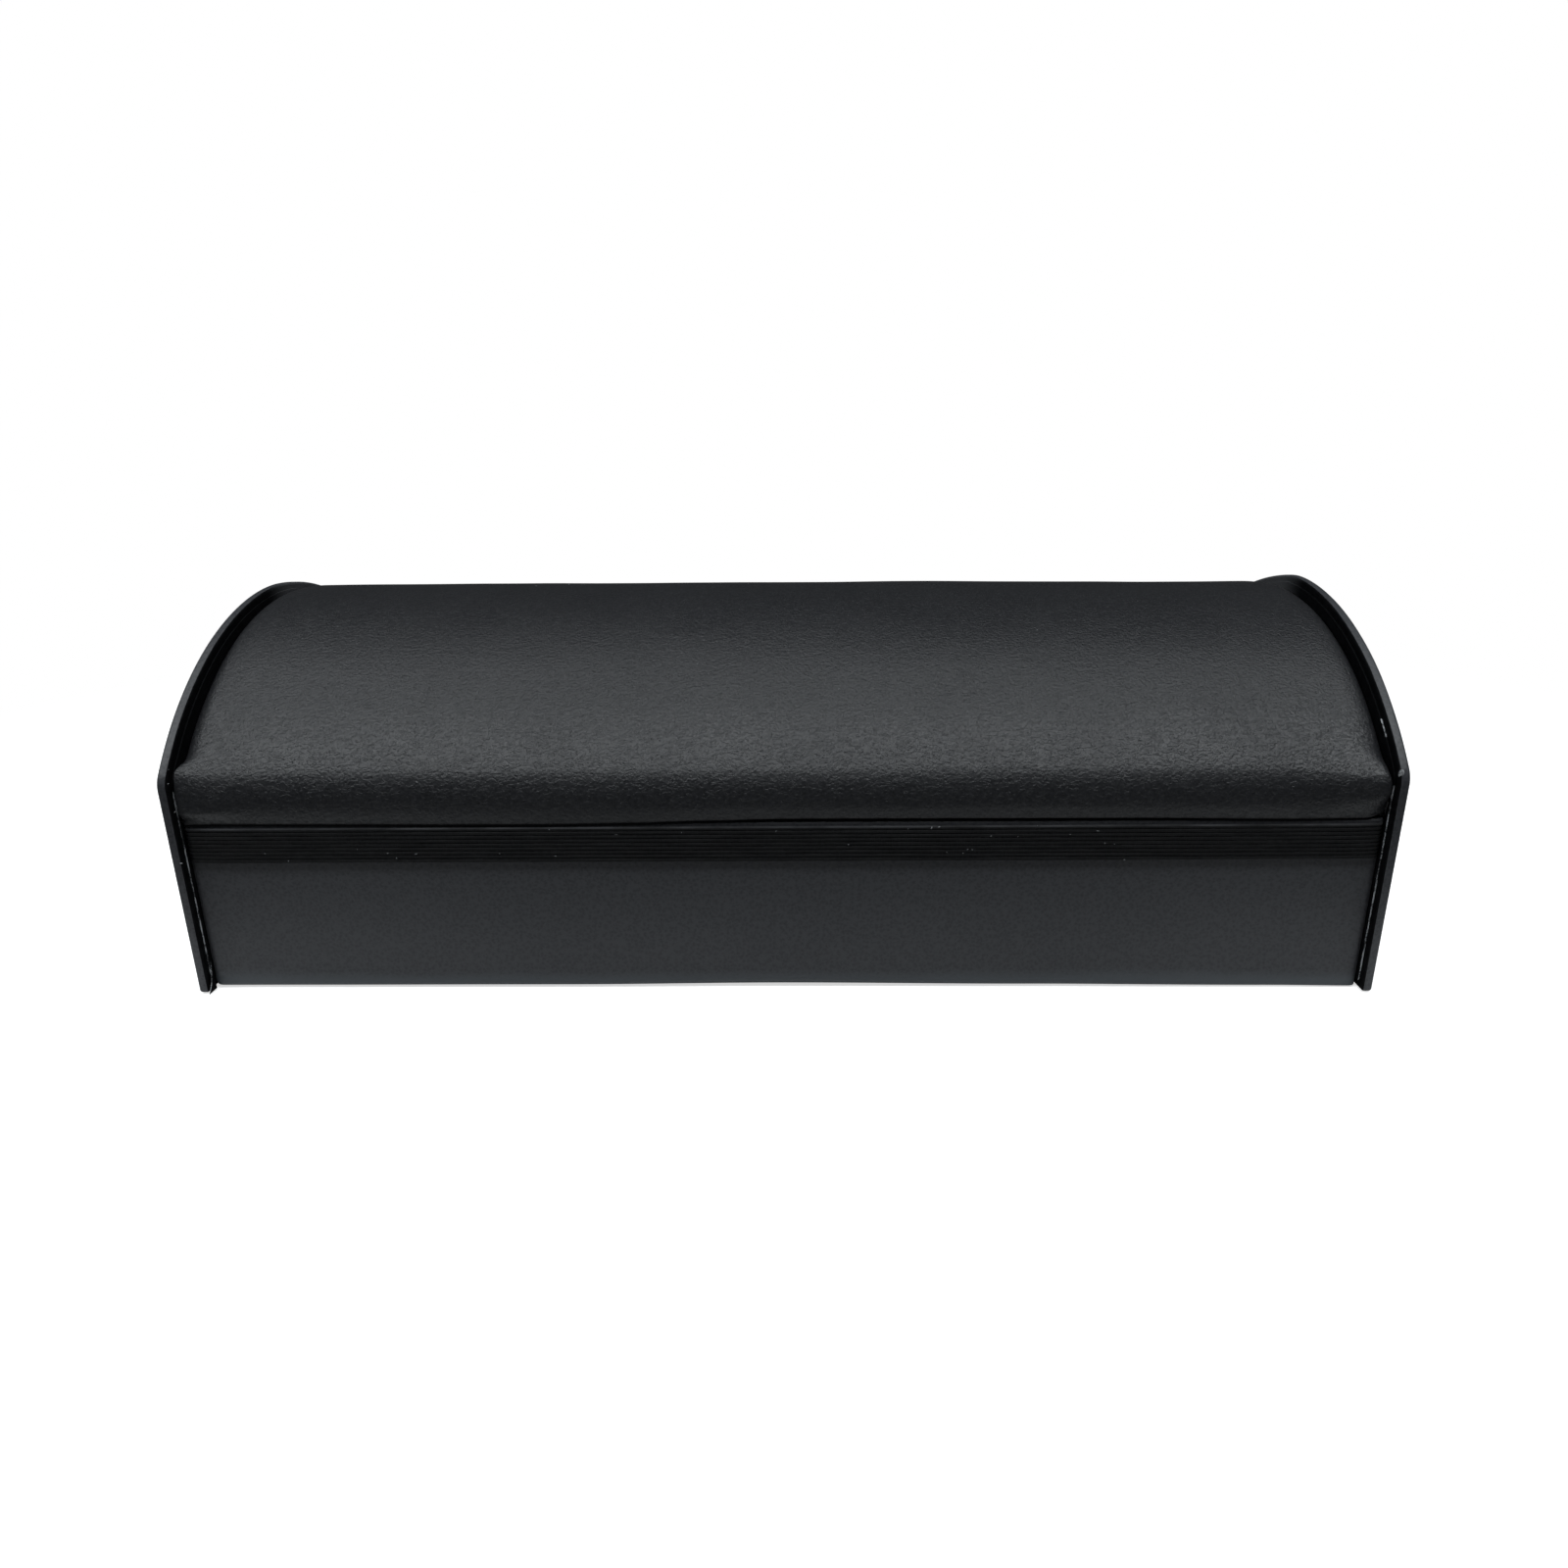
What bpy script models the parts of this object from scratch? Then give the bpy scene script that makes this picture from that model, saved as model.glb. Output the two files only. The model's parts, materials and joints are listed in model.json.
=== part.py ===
"""Padded bracelet box.

A tray of wrapped board stands between two upright end cheeks. A domed, padded lid lies between the cheeks and folds
back on a leatherette flap along the rear seam. An elastic band crosses the front wall just under the front seam.

Metres, +Z up, +X along the length, and the front faces -Y. The origin is in the middle of the resting face.
"""

import math

import bmesh
import bpy
from mathutils import Matrix, Vector
from mathutils.geometry import interpolate_bezier

# Overall form
LENGTH = 0.230
DEPTH = 0.115
WALL_HEIGHT = 0.0352
APRON_HEIGHT = 0.0088
DOME_RISE = 0.028
SHOULDER_RADIUS = 0.005
FOOT_RADIUS = 0.0012

# Sheet stock and the gaps between pieces
LEATHERETTE = 0.0003
GLUE_LINE = 0.0001
SEAT_GAP = 0.0003

# End cheeks
CHEEK_BOARD = 0.0011
CHEEK_RIM_ROUNDING = 0.0005
CHEEK_TURN_IN = 0.010
FACING_INSET = 0.0015

# Tray
WALL_SETBACK = 0.0021
WALL_BOARD = 0.002
WALL_FOOT_ROUNDING = 0.0021
BASE_BOARD = 0.002
TURN_UNDER = 0.012
TURN_OVER = 0.008
TRAY_LINING = 0.0012
FLOOR_PAD = 0.003
FLOOR_PAD_CROWN = 0.0008

# Elastic band
BAND_WIDTH = 0.0071
BAND_THICKNESS = 0.0008
BAND_DROP = 0.0007
BAND_LIFT_LENGTH = 0.090
BAND_END_LENGTH = 0.004
BAND_TAIL = 0.0028
BAND_SLOT_ROOM = 0.0004

# Padded lid
LID_END_GAP = 0.0004
LID_SEAM = 0.0008
PAD_TOP_INSET = 0.0021
PAD_FRONT_INSET = 0.0005
PAD_SHOULDER_RADIUS = 0.006
PAD_THICKNESS = 0.0038
BELLY_START = 0.0009
BELLY_LEAN = math.radians(50)
LID_COVER = 0.0004
FOAM_SLACK = 0.0005
LID_BOARD = 0.0016
LID_BOARD_SHOULDER = 0.0028
LID_BOARD_UPRIGHT = 0.00057
LID_END_BOARD = 0.002
LID_LINING = 0.0006
END_ROLL_LENGTH = 0.0034
END_ROLL_DROP = 0.42
EAR_ROLL_LENGTH = 0.0016
EAR_ROLL_DROP = 0.12
EAR_HALF_WIDTH = 0.007
END_FLAP_REACH = 1.3

# Hinge flap
FLAP_THICKNESS = 0.0004
FLAP_HEIGHT = 0.010
FOLD_GAP = 0.00035

# Facets
SHOULDER_STEPS = 4
DOME_STEPS = 9
FACE_STEPS = 5
ROLL_STEPS = 5
FOAM_BARE_STEPS = 2

# Places that follow from the sizes
HALF_LENGTH = LENGTH / 2
HALF_DEPTH = DEPTH / 2
HEIGHT = WALL_HEIGHT + APRON_HEIGHT + DOME_RISE
DOME_RADIUS = (HALF_DEPTH**2 + DOME_RISE**2) / (2 * DOME_RISE)
DOME_CENTRE_Z = HEIGHT - DOME_RADIUS
WRAP = LEATHERETTE + GLUE_LINE
CHEEK_RIM = CHEEK_BOARD + 2 * WRAP
CHEEK_INNER = HALF_LENGTH - CHEEK_RIM - WRAP
WALL_END = CHEEK_INNER - SEAT_GAP
WALL_FACE = HALF_DEPTH - WALL_SETBACK
WALL_OUTER = WALL_FACE - WRAP
WALL_INNER = WALL_OUTER - WALL_BOARD
TURNED_INNER = WALL_INNER - WRAP
FLOOR_TOP = WRAP + BASE_BOARD
LINING_INNER = TURNED_INNER - GLUE_LINE - TRAY_LINING
LINING_END = WALL_END - TRAY_LINING
LINING_TOP = WALL_HEIGHT - SEAT_GAP
BAND_TOP = WALL_HEIGHT - BAND_DROP
BAND_MIDDLE_Z = BAND_TOP - BAND_WIDTH / 2
BAND_BACK = WALL_FACE + GLUE_LINE
BAND_TURN = WALL_END - BAND_THICKNESS - GLUE_LINE
LID_END = CHEEK_INNER - LID_END_GAP
LID_BOARD_END = LID_END - LID_COVER - GLUE_LINE
LID_BOTTOM = WALL_HEIGHT + LID_SEAM
PAD_RADIUS = DOME_RADIUS - PAD_TOP_INSET
PAD_FACE = HALF_DEPTH - PAD_FRONT_INSET
LID_BOARD_TOP = HEIGHT - PAD_TOP_INSET - PAD_THICKNESS
LID_CORNER_Y = WALL_OUTER - LID_BOARD_SHOULDER
LID_CORNER_RISE = LID_BOARD_TOP - LID_BOARD_SHOULDER - LID_BOTTOM - LID_BOARD_UPRIGHT
LID_BOARD_RADIUS = (LID_CORNER_Y**2 + LID_CORNER_RISE**2) / (2 * LID_CORNER_RISE) + LID_BOARD_SHOULDER
LID_CENTRE_Z = LID_BOARD_TOP - LID_BOARD_RADIUS
LID_INNER_RADIUS = LID_BOARD_RADIUS - LID_BOARD - GLUE_LINE
LID_INNER_FACE = WALL_OUTER - LID_BOARD - GLUE_LINE
LID_INNER_SHOULDER = LID_BOARD_SHOULDER - LID_BOARD - GLUE_LINE
FLAP_INNER = WALL_FACE + GLUE_LINE
FOLD_Y = FLAP_INNER + FLAP_THICKNESS / 2
FOLD_Z = WALL_HEIGHT + FOLD_GAP


def clear_scene():
    """Removes every object that the scene starts with."""
    for thing in list(bpy.data.objects):
        bpy.data.objects.remove(thing)


def collection(name):
    made = bpy.data.collections.new(name)
    bpy.context.scene.collection.children.link(made)
    return made


def material(name, colour, roughness):
    made = bpy.data.materials.new(name)
    made.use_nodes = True
    shader = made.node_tree.nodes["Principled BSDF"]
    shader.inputs["Base Color"].default_value = (*colour, 1)
    shader.inputs["Roughness"].default_value = roughness
    shader.inputs["Metallic"].default_value = 0
    return made


def empty(name, location):
    made = bpy.data.objects.new(name, None)
    made.location = location
    PARTS.objects.link(made)
    return made


def piece(name, mesh, finish, carrier, location=(0, 0, 0), rotation=(0, 0, 0)):
    """An object in the parts collection, placed in the box's frame and carried by an empty."""
    made = bpy.data.objects.new(name, mesh)
    made.location = location
    made.rotation_euler = rotation
    made.parent = carrier
    made.matrix_parent_inverse = Matrix.Translation(-carrier.location)
    if finish:
        mesh.materials.append(finish)
    PARTS.objects.link(made)
    return made


def block(name, size, centre, finish, carrier):
    """A rectangular piece of board, felt or elastic."""
    bm = bmesh.new()
    bmesh.ops.create_cube(bm, size=1)
    bmesh.ops.scale(bm, vec=size, verts=bm.verts)
    mesh = bpy.data.meshes.new(name)
    bm.to_mesh(mesh)
    bm.free()
    return piece(name, mesh, finish, carrier, centre)


def plate(name, outline, thickness, middle_x, finish, carrier):
    """A flat plate square to the box's length, cut to an outline of (y, z) points."""
    curve = bpy.data.curves.new(name, "CURVE")
    curve.dimensions = "2D"
    curve.fill_mode = "BOTH"
    curve.extrude = thickness / 2
    spline = curve.splines.new("POLY")
    spline.points.add(len(outline) - 1)
    for point, (y, z) in zip(spline.points, outline):
        point.co = (y, z, 0, 1)
    spline.use_cyclic_u = True
    drawn = bpy.data.objects.new(name + "_outline", curve)
    bpy.context.scene.collection.objects.link(drawn)
    drawn.location = (middle_x, 0, 0)
    drawn.rotation_euler = (math.pi / 2, 0, math.pi / 2)
    bpy.context.view_layer.update()
    graph = bpy.context.evaluated_depsgraph_get()
    mesh = bpy.data.meshes.new_from_object(drawn.evaluated_get(graph))
    bm = bmesh.new()
    bm.from_mesh(mesh)
    bmesh.ops.remove_doubles(bm, verts=bm.verts, dist=1e-6)
    bm.to_mesh(mesh)
    bm.free()
    made = piece(name, mesh, finish, carrier, drawn.location, drawn.rotation_euler)
    bpy.data.objects.remove(drawn)
    return made


def sheet_mesh(name, columns, rows, place):
    """A grid bent into shape: place(column, row) gives each point, and columns run along +X."""
    bm = bmesh.new()
    bmesh.ops.create_grid(bm, x_segments=columns, y_segments=rows, size=1)
    for vert in bm.verts:
        column = round((vert.co.x + 1) / 2 * columns)
        row = round((vert.co.y + 1) / 2 * rows)
        vert.co = place(column, row)
    mesh = bpy.data.meshes.new(name)
    bm.to_mesh(mesh)
    bm.free()
    return mesh


def thicken(made, thickness):
    """Gives an open sheet its thickness, on the inner side."""
    solidify = made.modifiers.new("thickness", "SOLIDIFY")
    solidify.thickness = thickness
    solidify.offset = -1
    solidify.use_even_offset = True
    solidify.use_rim = True


def smooth(made, angle=math.radians(30)):
    made.data.shade_smooth()
    made.data.set_sharp_from_angle(angle=angle)


def bevel(made, width, segments=2):
    rounding = made.modifiers.new("rounding", "BEVEL")
    rounding.width = width
    rounding.segments = segments
    rounding.limit_method = "ANGLE"
    rounding.angle_limit = math.radians(60)


def cut(made, cutter):
    """Takes a cutter's shape out of a piece."""
    boolean = made.modifiers.new("cut_" + cutter.name, "BOOLEAN")
    boolean.operation = "DIFFERENCE"
    boolean.solver = "EXACT"
    boolean.object = cutter


def as_cutter(made):
    """Moves a piece to the cutters, which are no part of the box."""
    PARTS.objects.unlink(made)
    CUTTERS.objects.link(made)
    made.hide_render = True
    made.display_type = "WIRE"
    return made


def arc(centre, radius, start, end, steps):
    """Points (y, z) along an arc, with angles counted from +Y towards +Z."""
    angles = [start + (end - start) * n / steps for n in range(steps + 1)]
    return [(centre[0] + radius * math.cos(a), centre[1] + radius * math.sin(a)) for a in angles]


def rounded(path, radii, steps=3):
    """An open path of (y, z) points with each inner corner rounded by its own radius."""
    points = [Vector(p) for p in path]
    made = [points[0]]
    for before, corner, after, radius in zip(points, points[1:], points[2:], radii):
        back = (before - corner).normalized()
        ahead = (after - corner).normalized()
        half = back.angle(ahead) / 2
        reach = radius / math.tan(half)
        centre = corner + (back + ahead).normalized() * (radius / math.sin(half))
        start = corner + back * reach - centre
        turn = start.angle_signed(corner + ahead * reach - centre)
        for n in range(steps + 1):
            made.append(centre + Matrix.Rotation(-turn * n / steps, 2) @ start)
    made.append(points[-1])
    return [tuple(p) for p in made]


def front_half(face, half_depth, centre_z, radius, shoulder):
    """The front half of a domed profile: the upright face, then the shoulder, then the dome up to its top."""
    y = half_depth - shoulder
    rise = math.sqrt((radius - shoulder) ** 2 - y**2)
    lean = math.atan2(rise, y)
    corner = arc((-y, centre_z + rise), shoulder, math.pi, math.pi - lean, SHOULDER_STEPS)
    dome = arc((0, centre_z), radius, math.pi - lean, math.pi / 2, DOME_STEPS)
    return face + corner + dome[1:]


def both_halves(front):
    """A front half and its mirror image, from the front's lowest point to the rear's."""
    return front + [(-y, z) for y, z in reversed(front[:-1])]


def domed_outline(inset, bottom, foot):
    """The closed outline of an end cheek, drawn in by an inset, with its feet rounded."""
    half_depth = HALF_DEPTH - inset
    corner = (foot - half_depth, bottom + foot)
    face = arc(corner, foot, 1.5 * math.pi, math.pi, 2)
    shoulder = SHOULDER_RADIUS - min(inset, SHOULDER_RADIUS / 2)
    return both_halves(front_half(face, half_depth, DOME_CENTRE_Z, DOME_RADIUS - inset, shoulder))


def lid_outline(half_depth, radius, shoulder, bottom):
    """The outline of the lid's bent board, or of what fits inside it, from its front foot to its rear one."""
    return both_halves(front_half([(-half_depth, bottom)], half_depth, LID_CENTRE_Z, radius, shoulder))


def pad_profile():
    """The padded lid's outer profile: a belly that tucks in towards the seam, a soft shoulder and the dome."""
    shoulder = PAD_SHOULDER_RADIUS
    rise = math.sqrt((PAD_RADIUS - shoulder) ** 2 - (PAD_FACE - shoulder) ** 2)
    top = Vector((-PAD_FACE, DOME_CENTRE_Z + rise))
    tuck = Vector((-WALL_FACE - FLAP_THICKNESS, FOLD_Z + FOLD_GAP))
    reach = (top.y - tuck.y) / 3
    tuck_handle = tuck + Vector((-math.cos(BELLY_LEAN), math.sin(BELLY_LEAN))) * reach
    top_handle = top - Vector((0, 2 * reach - BELLY_START))
    belly = interpolate_bezier(tuck, tuck_handle, top_handle, top, FACE_STEPS + 1)
    face = [tuple(p) for p in belly[:-1]]
    return both_halves(front_half(face, PAD_FACE, DOME_CENTRE_Z, PAD_RADIUS, shoulder))


def under_pad_profile():
    """The profile that the pad sits on: the lid board's outer face with a glue line over it."""
    half_depth = WALL_OUTER + GLUE_LINE
    bottom = LID_BOTTOM + LID_COVER
    top = LID_BOTTOM + LID_BOARD_UPRIGHT
    face = [(-half_depth, bottom + (top - bottom) * n / FACE_STEPS) for n in range(FACE_STEPS)]
    shoulder = LID_BOARD_SHOULDER + GLUE_LINE
    return both_halves(front_half(face, half_depth, LID_CENTRE_Z, LID_BOARD_RADIUS + GLUE_LINE, shoulder))


def end_roll(point):
    """How the pad rolls down at its ends at a point of its profile: the roll's length, and its drop as a share."""
    ear = Vector(PAD_PROFILE[FACE_STEPS + SHOULDER_STEPS - 1])
    y, z = point
    away = (Vector((-abs(y), z)) - ear).length / EAR_HALF_WIDTH
    share = math.cos(min(away, 1) * math.pi / 2) ** 2
    length = END_ROLL_LENGTH + (EAR_ROLL_LENGTH - END_ROLL_LENGTH) * share
    drop = END_ROLL_DROP + (EAR_ROLL_DROP - END_ROLL_DROP) * share
    return length, drop


def pad_columns(flap):
    """The pad's stations along +X: (side, angle of the end roll, whether the station is on the end flap)."""
    roll = [(math.pi / 2) * n / ROLL_STEPS for n in range(ROLL_STEPS, -1, -1)]
    left = [(-1, angle, False) for angle in roll]
    right = [(1, angle, False) for angle in reversed(roll)]
    if flap:
        left = [(-1, math.pi / 2, True)] + left
        right = right + [(1, math.pi / 2, True)]
    return left + right


def pad_point(station, end, outer, under, length, drop):
    """A point of the pad at a station, on its outer profile or rolled down towards the profile under it.

    A row with no drop ends in a sharp fold, so its stations are evenly spaced there."""
    side, angle, on_flap = station
    share = END_FLAP_REACH if on_flap else drop * (1 - math.cos(angle))
    at = Vector(outer).lerp(Vector(under), share)
    along = math.sin(angle) if drop else 2 * angle / math.pi
    x = end - length + length * along
    return Vector((side * x, at.x, at.y))


def make_cheek(side, hand):
    """An end cheek: board, the leatherette wrapped round it and turned in, and the facing on its inner side."""
    middle = side * (HALF_LENGTH - CHEEK_RIM / 2)
    foot = FOOT_RADIUS - WRAP
    board = plate(hand + "_cheek_board", domed_outline(WRAP, WRAP, foot), CHEEK_BOARD, middle, GREYBOARD, BOX)
    smooth(board)

    cover = plate(hand + "_cheek_cover", domed_outline(0, 0, FOOT_RADIUS), CHEEK_RIM, middle, SATIN_BLACK, BOX)
    bevel(cover, CHEEK_RIM_ROUNDING)
    room = domed_outline(LEATHERETTE, LEATHERETTE, FOOT_RADIUS - LEATHERETTE)
    cavity = plate(hand + "_cheek_cavity", room, CHEEK_BOARD + 2 * GLUE_LINE, middle, None, BOX)
    cut(cover, as_cutter(cavity))
    opening = domed_outline(CHEEK_TURN_IN, CHEEK_TURN_IN, FOOT_RADIUS)
    inner_wrap = side * (HALF_LENGTH - CHEEK_RIM + LEATHERETTE / 2)
    window = plate(hand + "_cheek_window", opening, 2 * LEATHERETTE, inner_wrap, None, BOX)
    cut(cover, as_cutter(window))
    smooth(cover)

    facing_x = side * (CHEEK_INNER + LEATHERETTE / 2)
    facing_outline = domed_outline(FACING_INSET, FACING_INSET, FOOT_RADIUS)
    facing = plate(hand + "_cheek_facing", facing_outline, LEATHERETTE, facing_x, SATIN_BLACK, BOX)
    smooth(facing)


def make_base():
    """The base board, and the felt that fills the space between the wrapped walls' margins under it."""
    board = (2 * WALL_END, 2 * (WALL_INNER - GLUE_LINE), BASE_BOARD)
    block("base_board", board, (0, 0, WRAP + BASE_BOARD / 2), GREYBOARD, BOX)
    felt = (2 * WALL_END, 2 * (WALL_FACE - TURN_UNDER - SEAT_GAP), LEATHERETTE)
    block("base_felt", felt, (0, 0, LEATHERETTE / 2), FELT, BOX)


def wrapped_wall_path():
    """The path of a wall's wrap: in under the base, up the outer face, over the top and down the inner face."""
    corners = [
        (-WALL_FACE + TURN_UNDER, 0),
        (-WALL_FACE, 0),
        (-WALL_FACE, WALL_HEIGHT),
        (-TURNED_INNER, WALL_HEIGHT),
        (-TURNED_INNER, WALL_HEIGHT - TURN_OVER),
    ]
    edge = LEATHERETTE + 2 * GLUE_LINE
    return rounded(corners, (WALL_FOOT_ROUNDING, edge, edge))


def wall_board_outline():
    """The closed outline of the front wall's board, with its lower outer corner rounded for the wrap."""
    foot = WALL_FOOT_ROUNDING - WRAP
    low = WRAP
    high = WALL_HEIGHT - WRAP
    rounding = arc((foot - WALL_OUTER, low + foot), foot, 1.5 * math.pi, math.pi, 4)
    return [(-WALL_INNER, low)] + rounding + [(-WALL_OUTER, high), (-WALL_INNER, high)]


def make_wall(side, hand):
    """The front or rear wall: its board and its leatherette wrap."""
    outline = wall_board_outline()
    path = wrapped_wall_path()
    if side > 0:
        outline = [(-y, z) for y, z in reversed(outline)]
        path = [(-y, z) for y, z in reversed(path)]
    board = plate(hand + "_wall_board", outline, 2 * WALL_END, 0, GREYBOARD, BOX)
    smooth(board)

    def place(column, row):
        y, z = path[row]
        return Vector(((2 * column - 1) * WALL_END, y, z))

    mesh = sheet_mesh(hand + "_wall_cover", 1, len(path) - 1, place)
    cover = piece(hand + "_wall_cover", mesh, SATIN_BLACK, BOX)
    thicken(cover, LEATHERETTE)
    smooth(cover)
    return board, cover


def cut_band_slots(pieces):
    """The slot at each end of the front wall, where the band turns in beside the cheek."""
    slot_depth = WALL_END - BAND_TURN + BAND_SLOT_ROOM
    wall = WALL_FACE - TURNED_INNER
    for side, hand in SIDES:
        size = (2 * slot_depth, 2 * wall, BAND_WIDTH + 2 * (BAND_DROP + SEAT_GAP))
        centre = (side * WALL_END, -(WALL_FACE + TURNED_INNER) / 2, BAND_MIDDLE_Z)
        slot = as_cutter(block(hand + "_band_slot", size, centre, None, BOX))
        for made in pieces:
            cut(made, slot)


def make_tray_inside():
    """The velvet-covered cards that line the tray, and the pad on its floor."""
    bottom = FLOOR_TOP + SEAT_GAP
    height = LINING_TOP - bottom
    middle_z = bottom + height / 2
    for side, hand in ((-1, "front"), (1, "rear")):
        size = (2 * WALL_END, TRAY_LINING, height)
        centre = (0, side * (LINING_INNER + TRAY_LINING / 2), middle_z)
        block(hand + "_tray_lining", size, centre, VELVET, BOX)
    for side, hand in SIDES:
        size = (TRAY_LINING, 2 * (LINING_INNER - SEAT_GAP), height)
        centre = (side * (LINING_END + TRAY_LINING / 2), 0, middle_z)
        block(hand + "_tray_lining", size, centre, VELVET, BOX)

    half_x = LINING_END - SEAT_GAP
    half_y = LINING_INNER - SEAT_GAP
    columns = 14
    rows = 8

    def place(column, row):
        x = 2 * column / columns - 1
        y = 2 * row / rows - 1
        crown = FLOOR_PAD_CROWN * (1 - x**4) * (1 - y**4)
        return Vector((x * half_x, y * half_y, bottom + FLOOR_PAD + crown))

    mesh = sheet_mesh("tray_floor_pad", columns, rows, place)
    close_downwards(mesh, bottom)
    smooth(piece("tray_floor_pad", mesh, VELVET, BOX))


def close_downwards(mesh, bottom):
    """Makes a sheet a solid with a flat underside."""
    bm = bmesh.new()
    bm.from_mesh(mesh)
    made = bmesh.ops.extrude_face_region(bm, geom=bm.faces[:])
    for vert in (v for v in made["geom"] if isinstance(v, bmesh.types.BMVert)):
        vert.co.z = bottom
    bmesh.ops.recalc_face_normals(bm, faces=bm.faces)
    bm.to_mesh(mesh)
    bm.free()


def make_band():
    """The elastic band: a middle that lifts off the wall, a run on each side that stretches, and the glued ends."""
    thickness = BAND_THICKNESS
    middle_y = -(BAND_BACK + thickness / 2)
    turn_start = BAND_TURN + thickness - BAND_END_LENGTH
    middle = (BAND_LIFT_LENGTH, thickness, BAND_WIDTH)
    block("band_middle", middle, (0, middle_y, BAND_MIDDLE_Z), ELASTIC, BAND_SLIDE)
    for side, hand in SIDES:
        inner = BAND_LIFT_LENGTH / 2 + SEAT_GAP
        outer = turn_start - SEAT_GAP
        size = (outer - inner, thickness, BAND_WIDTH)
        centre = (side * (inner + outer) / 2, middle_y, BAND_MIDDLE_Z)
        block(hand + "_band_run", size, centre, ELASTIC, BOX)
        make_band_end(side, hand, turn_start)


def make_band_end(side, hand, start):
    """A glued end of the band, turned round the end of the wall into its slot."""
    front = -(BAND_BACK + BAND_THICKNESS)
    end = BAND_TURN + BAND_THICKNESS
    path = rounded([(start, front), (end, front), (end, -BAND_BACK + BAND_TAIL)], [BAND_THICKNESS + GLUE_LINE])
    if side > 0:
        path = [(x, y) for x, y in reversed(path)]
    low = BAND_MIDDLE_Z - BAND_WIDTH / 2

    def place(column, row):
        x, y = path[row]
        return Vector((side * x, y, low + column * BAND_WIDTH))

    mesh = sheet_mesh(hand + "_band_end", 1, len(path) - 1, place)
    bend = piece(hand + "_band_end", mesh, ELASTIC, BOX)
    thicken(bend, BAND_THICKNESS)
    smooth(bend)


def make_hinge_flap():
    """The flap that folds where the lid meets the rear wall, glued down the wall's outer face."""
    size = (2 * WALL_END, FLAP_THICKNESS, FLAP_HEIGHT)
    centre = (0, FLAP_INNER + FLAP_THICKNESS / 2, WALL_HEIGHT - FLAP_HEIGHT / 2)
    block("hinge_flap", size, centre, SATIN_BLACK, BOX)


def make_lid_boards():
    """The lid's bent board and the two end boards that hold its curve."""
    profile = lid_outline(WALL_OUTER, LID_BOARD_RADIUS, LID_BOARD_SHOULDER, LID_BOTTOM)

    def place(column, row):
        y, z = profile[row]
        return Vector(((2 * column - 1) * LID_BOARD_END, y, z))

    mesh = sheet_mesh("lid_board", 1, len(profile) - 1, place)
    board = piece("lid_board", mesh, GREYBOARD, LID_PIVOT)
    thicken(board, LID_BOARD)
    smooth(board)
    outline = lid_outline(LID_INNER_FACE, LID_INNER_RADIUS, LID_INNER_SHOULDER, LID_BOTTOM)
    for side, hand in SIDES:
        middle = side * (LID_BOARD_END - GLUE_LINE - LID_END_BOARD / 2)
        name = hand + "_lid_end_board"
        smooth(plate(name, outline, LID_END_BOARD, middle, GREYBOARD, LID_PIVOT))


def make_lid_lining():
    """The velvet inside the lid: one sheet under the dome and a card at each end."""
    end = LID_BOARD_END - 2 * GLUE_LINE - LID_END_BOARD
    bottom = LID_BOTTOM + SEAT_GAP
    profile = lid_outline(LID_INNER_FACE, LID_INNER_RADIUS, LID_INNER_SHOULDER, bottom)

    def place(column, row):
        y, z = profile[row]
        return Vector(((2 * column - 1) * end, y, z))

    mesh = sheet_mesh("lid_lining", 1, len(profile) - 1, place)
    lining = piece("lid_lining", mesh, VELVET, LID_PIVOT)
    thicken(lining, LID_LINING)
    smooth(lining)
    step = LID_LINING + GLUE_LINE
    outline = lid_outline(LID_INNER_FACE - step, LID_INNER_RADIUS - step, LID_INNER_SHOULDER - step, bottom)
    for side, hand in SIDES:
        middle = side * (end - LID_LINING / 2)
        smooth(plate(hand + "_lid_end_lining", outline, LID_LINING, middle, VELVET, LID_PIVOT))


def turned_edge():
    """The rows of the cover's front margin, turned in under the lid board, with no end roll but a short end flap."""
    under = LID_BOTTOM - GLUE_LINE - LID_COVER
    corner = WALL_OUTER + GLUE_LINE + LID_COVER / 2
    flap = under + 1.5 * LID_COVER
    margin = ((-LID_INNER_FACE, under), (-LID_INNER_FACE, flap), END_ROLL_LENGTH, 0)
    fold = ((-corner, under), (-corner + LID_COVER / 2, flap), END_ROLL_LENGTH, 0)
    return [margin, fold]


def make_lid_cover():
    """The lid's leatherette cover, drawn over the pad, rolled down at both ends and turned in at the front seam."""
    stations = pad_columns(True)
    rows = turned_edge()
    rows += [(outer, under, *end_roll(outer)) for outer, under in zip(PAD_PROFILE, UNDER_PAD)]

    def place(column, row):
        return pad_point(stations[column], LID_END, *rows[row])

    mesh = sheet_mesh("lid_cover", len(stations) - 1, len(rows) - 1, place)
    cover = piece("lid_cover", mesh, SATIN_BLACK, LID_PIVOT)
    thicken(cover, LID_COVER)
    smooth(cover, math.radians(40))


def make_lid_foam():
    """The foam between the cover and the lid board, which thins towards its ends and its lower edges."""
    end = LID_BOARD_END - FOAM_SLACK
    stations = pad_columns(False)
    rows = []
    for outer, under in zip(PAD_PROFILE, UNDER_PAD):
        inward = (Vector(under) - Vector(outer)).normalized()
        skin = Vector(outer) + inward * (LID_COVER + FOAM_SLACK)
        length, drop = end_roll(outer)
        rows.append((skin, under, length - GLUE_LINE, drop))
    rows = rows[FOAM_BARE_STEPS : len(rows) - FOAM_BARE_STEPS]

    def place(column, row):
        return pad_point(stations[column], end, *rows[row])

    mesh = sheet_mesh("lid_foam", len(stations) - 1, len(rows) - 1, place)
    seat_foam(mesh, [row[1] for row in rows])
    foam = piece("lid_foam", mesh, FOAM, LID_PIVOT)
    smooth(foam, math.radians(40))


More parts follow.
